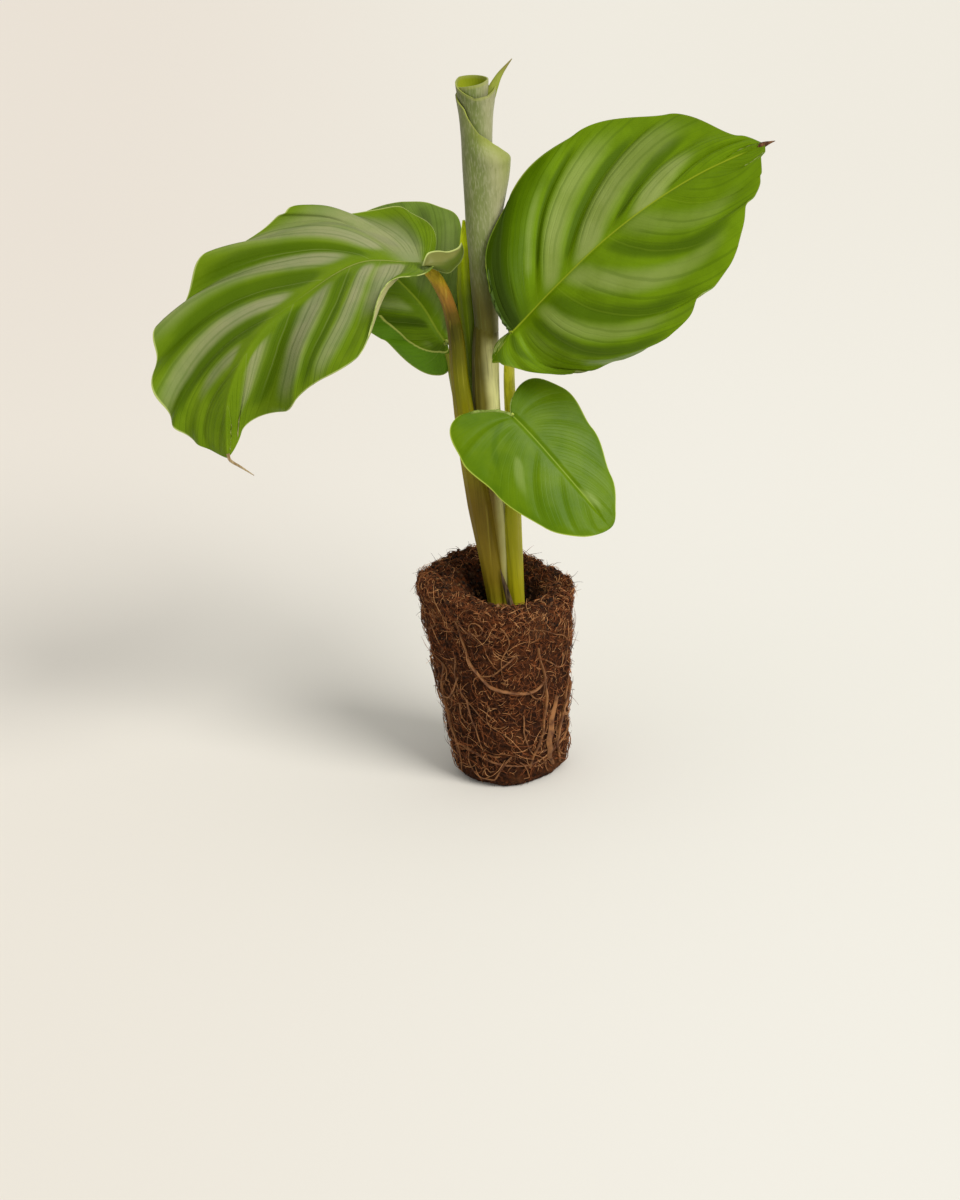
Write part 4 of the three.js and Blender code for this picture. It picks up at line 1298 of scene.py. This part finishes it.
def fibreFinish():
    material, place = newMaterial("fibreSkin", 0.8, 0.25)
    shade = attribute("shade")
    colour = paint(
        mixColour(ramp(shade, 0.1, 0.7), (50, 25, 11), (142, 80, 40)),
        (ramp(shade, 0.72, 1), (208, 152, 98)),
        (ramp(noise(place, 700), 0.45, 0.7, 0, 0.5), (46, 24, 12)),
    )
    return finished(material, colour)


def partOfPlug(name, keep):
    # a copy of the plug's surface with only the faces whose middles pass the test
    source = rootPlug.data
    centres = np.zeros(len(source.polygons) * 3)
    source.polygons.foreach_get("center", centres)
    centres = centres.reshape(-1, 3) / mm
    points = np.zeros(len(source.vertices) * 3)
    source.vertices.foreach_get("co", points)
    kept = [tuple(p.vertices) for p, centre in zip(source.polygons, centres) if keep(*centre)]
    return meshOf(name, points.reshape(-1, 3) / mm, kept)


def onWall(x, y, z):
    return z > 3.5 and np.hypot(x, y) > wallRadius(np.arctan2(y, x), z) - 1.6


def onRim(x, y, z):
    return z > 39 and np.hypot(x, y) > 9.5


def inHollow(x, y, z):
    return z > 36 and np.hypot(x, y) < 15.5


looseFibres = fibreTree()
fibreSkin = fibreFinish()
for name, keep in (("matted", onWall), ("trailing", onWall), ("rim", onRim)):
    look = fibres[name]
    piece = addObject(name + "Fibres", partOfPlug(name + "Fibres", keep))
    grow(piece, looseFibres, {
        **scattered(look, fibreSkin), "Radius": look["radius"] * mm, "Lift": look["lift"],
        "Tilt": look["tilt"], "Wander": fibreWander * mm, "Segments": look["segments"],
    })
    finishPiece(piece, "coir")
    print(name, "fibres laid:", len(piece.data.polygons), "faces")


# Crumbs in the hollow

crumbs = {"density": 1.1, "length": (0.25, 0.95), "seed": 21}


def crumbTree():
    given, spots = scatterTree("crumbs")
    ball = built("GeometryNodeMeshIcoSphere", {"Radius": 0.5, "Subdivisions": 2})
    lump = built("GeometryNodeSetPosition", {0: ball, "Offset": offCentre(2.3)})
    turn = randomBetween((0, 0, 0), (6.28, 6.28, 6.28), given["Seed"], data_type="FLOAT_VECTOR")
    pose = built("FunctionNodeEulerToRotation", {0: turn})
    return endTree(given, laidOut(given, spots, lump, pose))


def crumbFinish():
    material, place = newMaterial("crumbSkin", 0.9, 0.2)
    shade = attribute("shade")
    colour = mixColour(ramp(shade, 0.1, 0.85), (28, 18, 12), (84, 54, 32))
    colour = mixColour(ramp(shade, 0.93, 1), colour, (138, 104, 66))
    return finished(material, colour, noise(place, 1500), 0.0003, 0.8)


soilCrumbs = addObject("soilCrumbs", partOfPlug("soilCrumbs", inHollow))
grow(soilCrumbs, crumbTree(), scattered(crumbs, crumbFinish()))
finishPiece(soilCrumbs, "coir")
print("crumbs laid:", len(soilCrumbs.data.polygons), "faces")


# Roots on the wall. Each path gives an angle in degrees and a height.

rootPaths = [
    {"path": [(229, 42), (238, 34), (248, 29), (262, 26), (285, 24), (300, 24), (313, 26)], "radius": 0.42},
    {"path": [(303, 34), (309, 27), (311, 20), (304, 12), (287, 4.5)], "radius": 0.45},
    {"path": [(325, 20), (318, 14), (312, 8), (318, 3.2)], "radius": 0.75},
    {"path": [(346, 24), (338, 15), (326, 9), (330, 3)], "radius": 0.5},
    {"path": [(24, 34), (12, 22), (2, 12), (350, 7)], "radius": 0.42},
    {"path": [(70, 38), (84, 26), (92, 14), (100, 6)], "radius": 0.42},
    {"path": [(128, 36), (140, 24), (158, 14), (166, 6)], "radius": 0.42},
    {"path": [(204, 30), (196, 18), (206, 7)], "radius": 0.42},
]
rootGirdle = {"height": 7.5, "sway": 2.2, "radius": 0.27}
fineRoots = {
    "count": 46, "radius": (0.09, 0.24), "length": (9, 34), "heading": (-2.6, -0.4), "turning": 0.16,
    "wallRadius": 15, "lowest": 2.2, "highest": 43.5, "lift": 0.32, "seed": 31,
}


def wallPlaces(angles, heights, lift):
    angles = np.radians(angles)
    reach = wallRadius(angles, heights) + lift
    return np.stack([reach * np.cos(angles), reach * np.sin(angles), heights], axis=-1)


def rootTracks():
    # every strand as its places on the wall and its radii
    draw = np.random.default_rng(fineRoots["seed"])
    tracks = []
    for strand in rootPaths:
        t = np.linspace(0, 1, (len(strand["path"]) - 1) * 8 + 1)
        route, _ = curveThrough([(a, z, 0) for a, z in strand["path"]], t)
        sway = np.sin(t * 23 + strand["radius"] * 90) * 0.9
        radii = strand["radius"] * (0.45 + 0.55 * np.sin(np.pi * np.clip(t, 0.12, 0.88)))
        tracks.append((wallPlaces(route[:, 0] + sway, route[:, 1], 0.25), radii))
    t = np.linspace(0, 1, 120)
    sway = rootGirdle["sway"] * np.sin(4 * np.pi * t + 1)
    radii = rootGirdle["radius"] * (0.8 + 0.2 * np.cos(19 * t))
    tracks.append((wallPlaces(360 * t, rootGirdle["height"] + sway, 0.2), radii))
    for _ in range(fineRoots["count"]):
        angle, z = draw.uniform(0, 360), draw.uniform(4, 43)
        heading, turning = draw.uniform(*fineRoots["heading"]), 0.0
        steps = int(draw.uniform(*fineRoots["length"]))
        route = []
        for _ in range(steps):
            route.append((angle, z))
            turning = turning * 0.8 + draw.normal(0, fineRoots["turning"])
            heading += turning
            angle += math.degrees(math.cos(heading) / fineRoots["wallRadius"])
            z = min(max(z + math.sin(heading), fineRoots["lowest"]), fineRoots["highest"])
        route = np.array(route)
        if len(route) < 4:
            continue
        radii = draw.uniform(*fineRoots["radius"]) * np.linspace(1, 0.35, len(route))
        lift = fineRoots["lift"] + draw.uniform(0, 0.4)
        tracks.append((wallPlaces(route[:, 0], route[:, 1], lift), radii))
    return tracks


def rootFinish():
    material, place = newMaterial("rootSkin", 0.7, 0.3)
    fleck = noise(place, 420, 4)
    colour = paint(
        mixColour(ramp(fleck, 0.32, 0.62), (84, 48, 24), (142, 96, 54)),
        (ramp(noise(place, 90), 0.5, 0.68, 0, 0.5), (74, 46, 28)),
    )
    return finished(material, colour, fleck, 0.0003, 0.7)


surfaceRoots = addObject("surfaceRoots", tracksMesh("surfaceRoots", rootTracks()))
grow(surfaceRoots, stemShape, {"Sides": 9, "Ridges": 3, "Ridge depth": 0.12, "Finish": rootFinish()})
finishPiece(surfaceRoots, "root", "surface_roots")
print("roots laid:", len(surfaceRoots.data.polygons), "faces")


# Floor, light and camera

studio = {
    "floorSize": 40.0,
    "floor": (231, 229, 222),
    # floorLeft, floorNearLeft and the leftToRight ramp darken the left side: painted shade, as with light
    # from the right. The near colours are lighter: painted light on the floor in front of the plant.
    "floorLeft": (226, 220, 212),
    "floorNear": (235, 234, 228),
    "floorNearLeft": (229, 225, 217),
    "leftToRight": (-0.14, 0.08),  # in metres, as far to near is
    "farToNear": (0.5, 0.05),
    "sky": (255, 253, 249),
    "skyStrength": 0.58,
    "sunStrength": 2.6,
    "sunAngle": 30,
    "sunFrom": (0.85, -0.95, 1.0),
    "sunColour": (1.0, 0.97, 0.92),
}


def addFloor():
    half = studio["floorSize"] / 2
    corners = [(-half, -half, 0), (half, -half, 0), (half, half, 0), (-half, half, 0)]
    mesh = bpy.data.meshes.new("floor")
    mesh.from_pydata(corners, [], [(0, 1, 2, 3)])
    floor = addObject("floor", mesh)
    material, place = newMaterial("paleBackdrop", 0.9, 0.1)
    spot = addNode("ShaderNodeSeparateXYZ", {0: place}).outputs
    # painted light and shade: darker to the left, lighter towards the front
    toRight = ramp(spot["X"], *studio["leftToRight"])
    far = mixColour(toRight, studio["floorLeft"], studio["floor"])
    near = mixColour(toRight, studio["floorNearLeft"], studio["floorNear"])
    colour = mixColour(ramp(spot["Y"], *studio["farToNear"]), far, near)
    mesh.materials.append(finished(material, colour))


def addStudio():
    addFloor()
    world = bpy.data.worlds.new("studio")
    world.use_nodes = True
    sky = world.node_tree.nodes["Background"]
    sky.inputs["Color"].default_value = tint(studio["sky"])
    sky.inputs["Strength"].default_value = studio["skyStrength"]
    bpy.context.scene.world = world
    light = bpy.data.lights.new("sun", "SUN")
    light.energy = studio["sunStrength"]
    light.angle = math.radians(studio["sunAngle"])
    light.color = studio["sunColour"]
    sun = addObject("sun", light)
    sun.location = studio["sunFrom"]
    sun.rotation_euler = Vector(studio["sunFrom"]).to_track_quat("Z", "Y").to_euler()


view = {
    "target": (-0.00393, 0.01457, 0.03606),
    "distance": 1.0,
    "elevation": 22,
    "roll": 5.2,  # the stems lean left in the picture
    "lens": 129,
    "sensor": 36,
}


def addCamera():
    data = bpy.data.cameras.new("camera")
    data.lens = view["lens"]
    data.sensor_width = view["sensor"]
    camera = addObject("camera", data)
    rise, roll = math.radians(view["elevation"]), math.radians(view["roll"])
    back = Vector((0, -math.cos(rise), math.sin(rise)))
    level, upright = Vector((1, 0, 0)), Vector((0, math.sin(rise), math.cos(rise)))
    right = level * math.cos(roll) - upright * math.sin(roll)
    up = level * math.sin(roll) + upright * math.cos(roll)
    camera.location = Vector(view["target"]) + back * view["distance"]
    camera.rotation_euler = Matrix((right, up, back)).transposed().to_euler()
    bpy.context.scene.camera = camera


addStudio()
addCamera()
bpy.context.scene.view_settings.view_transform = "Standard"
print("studio set")
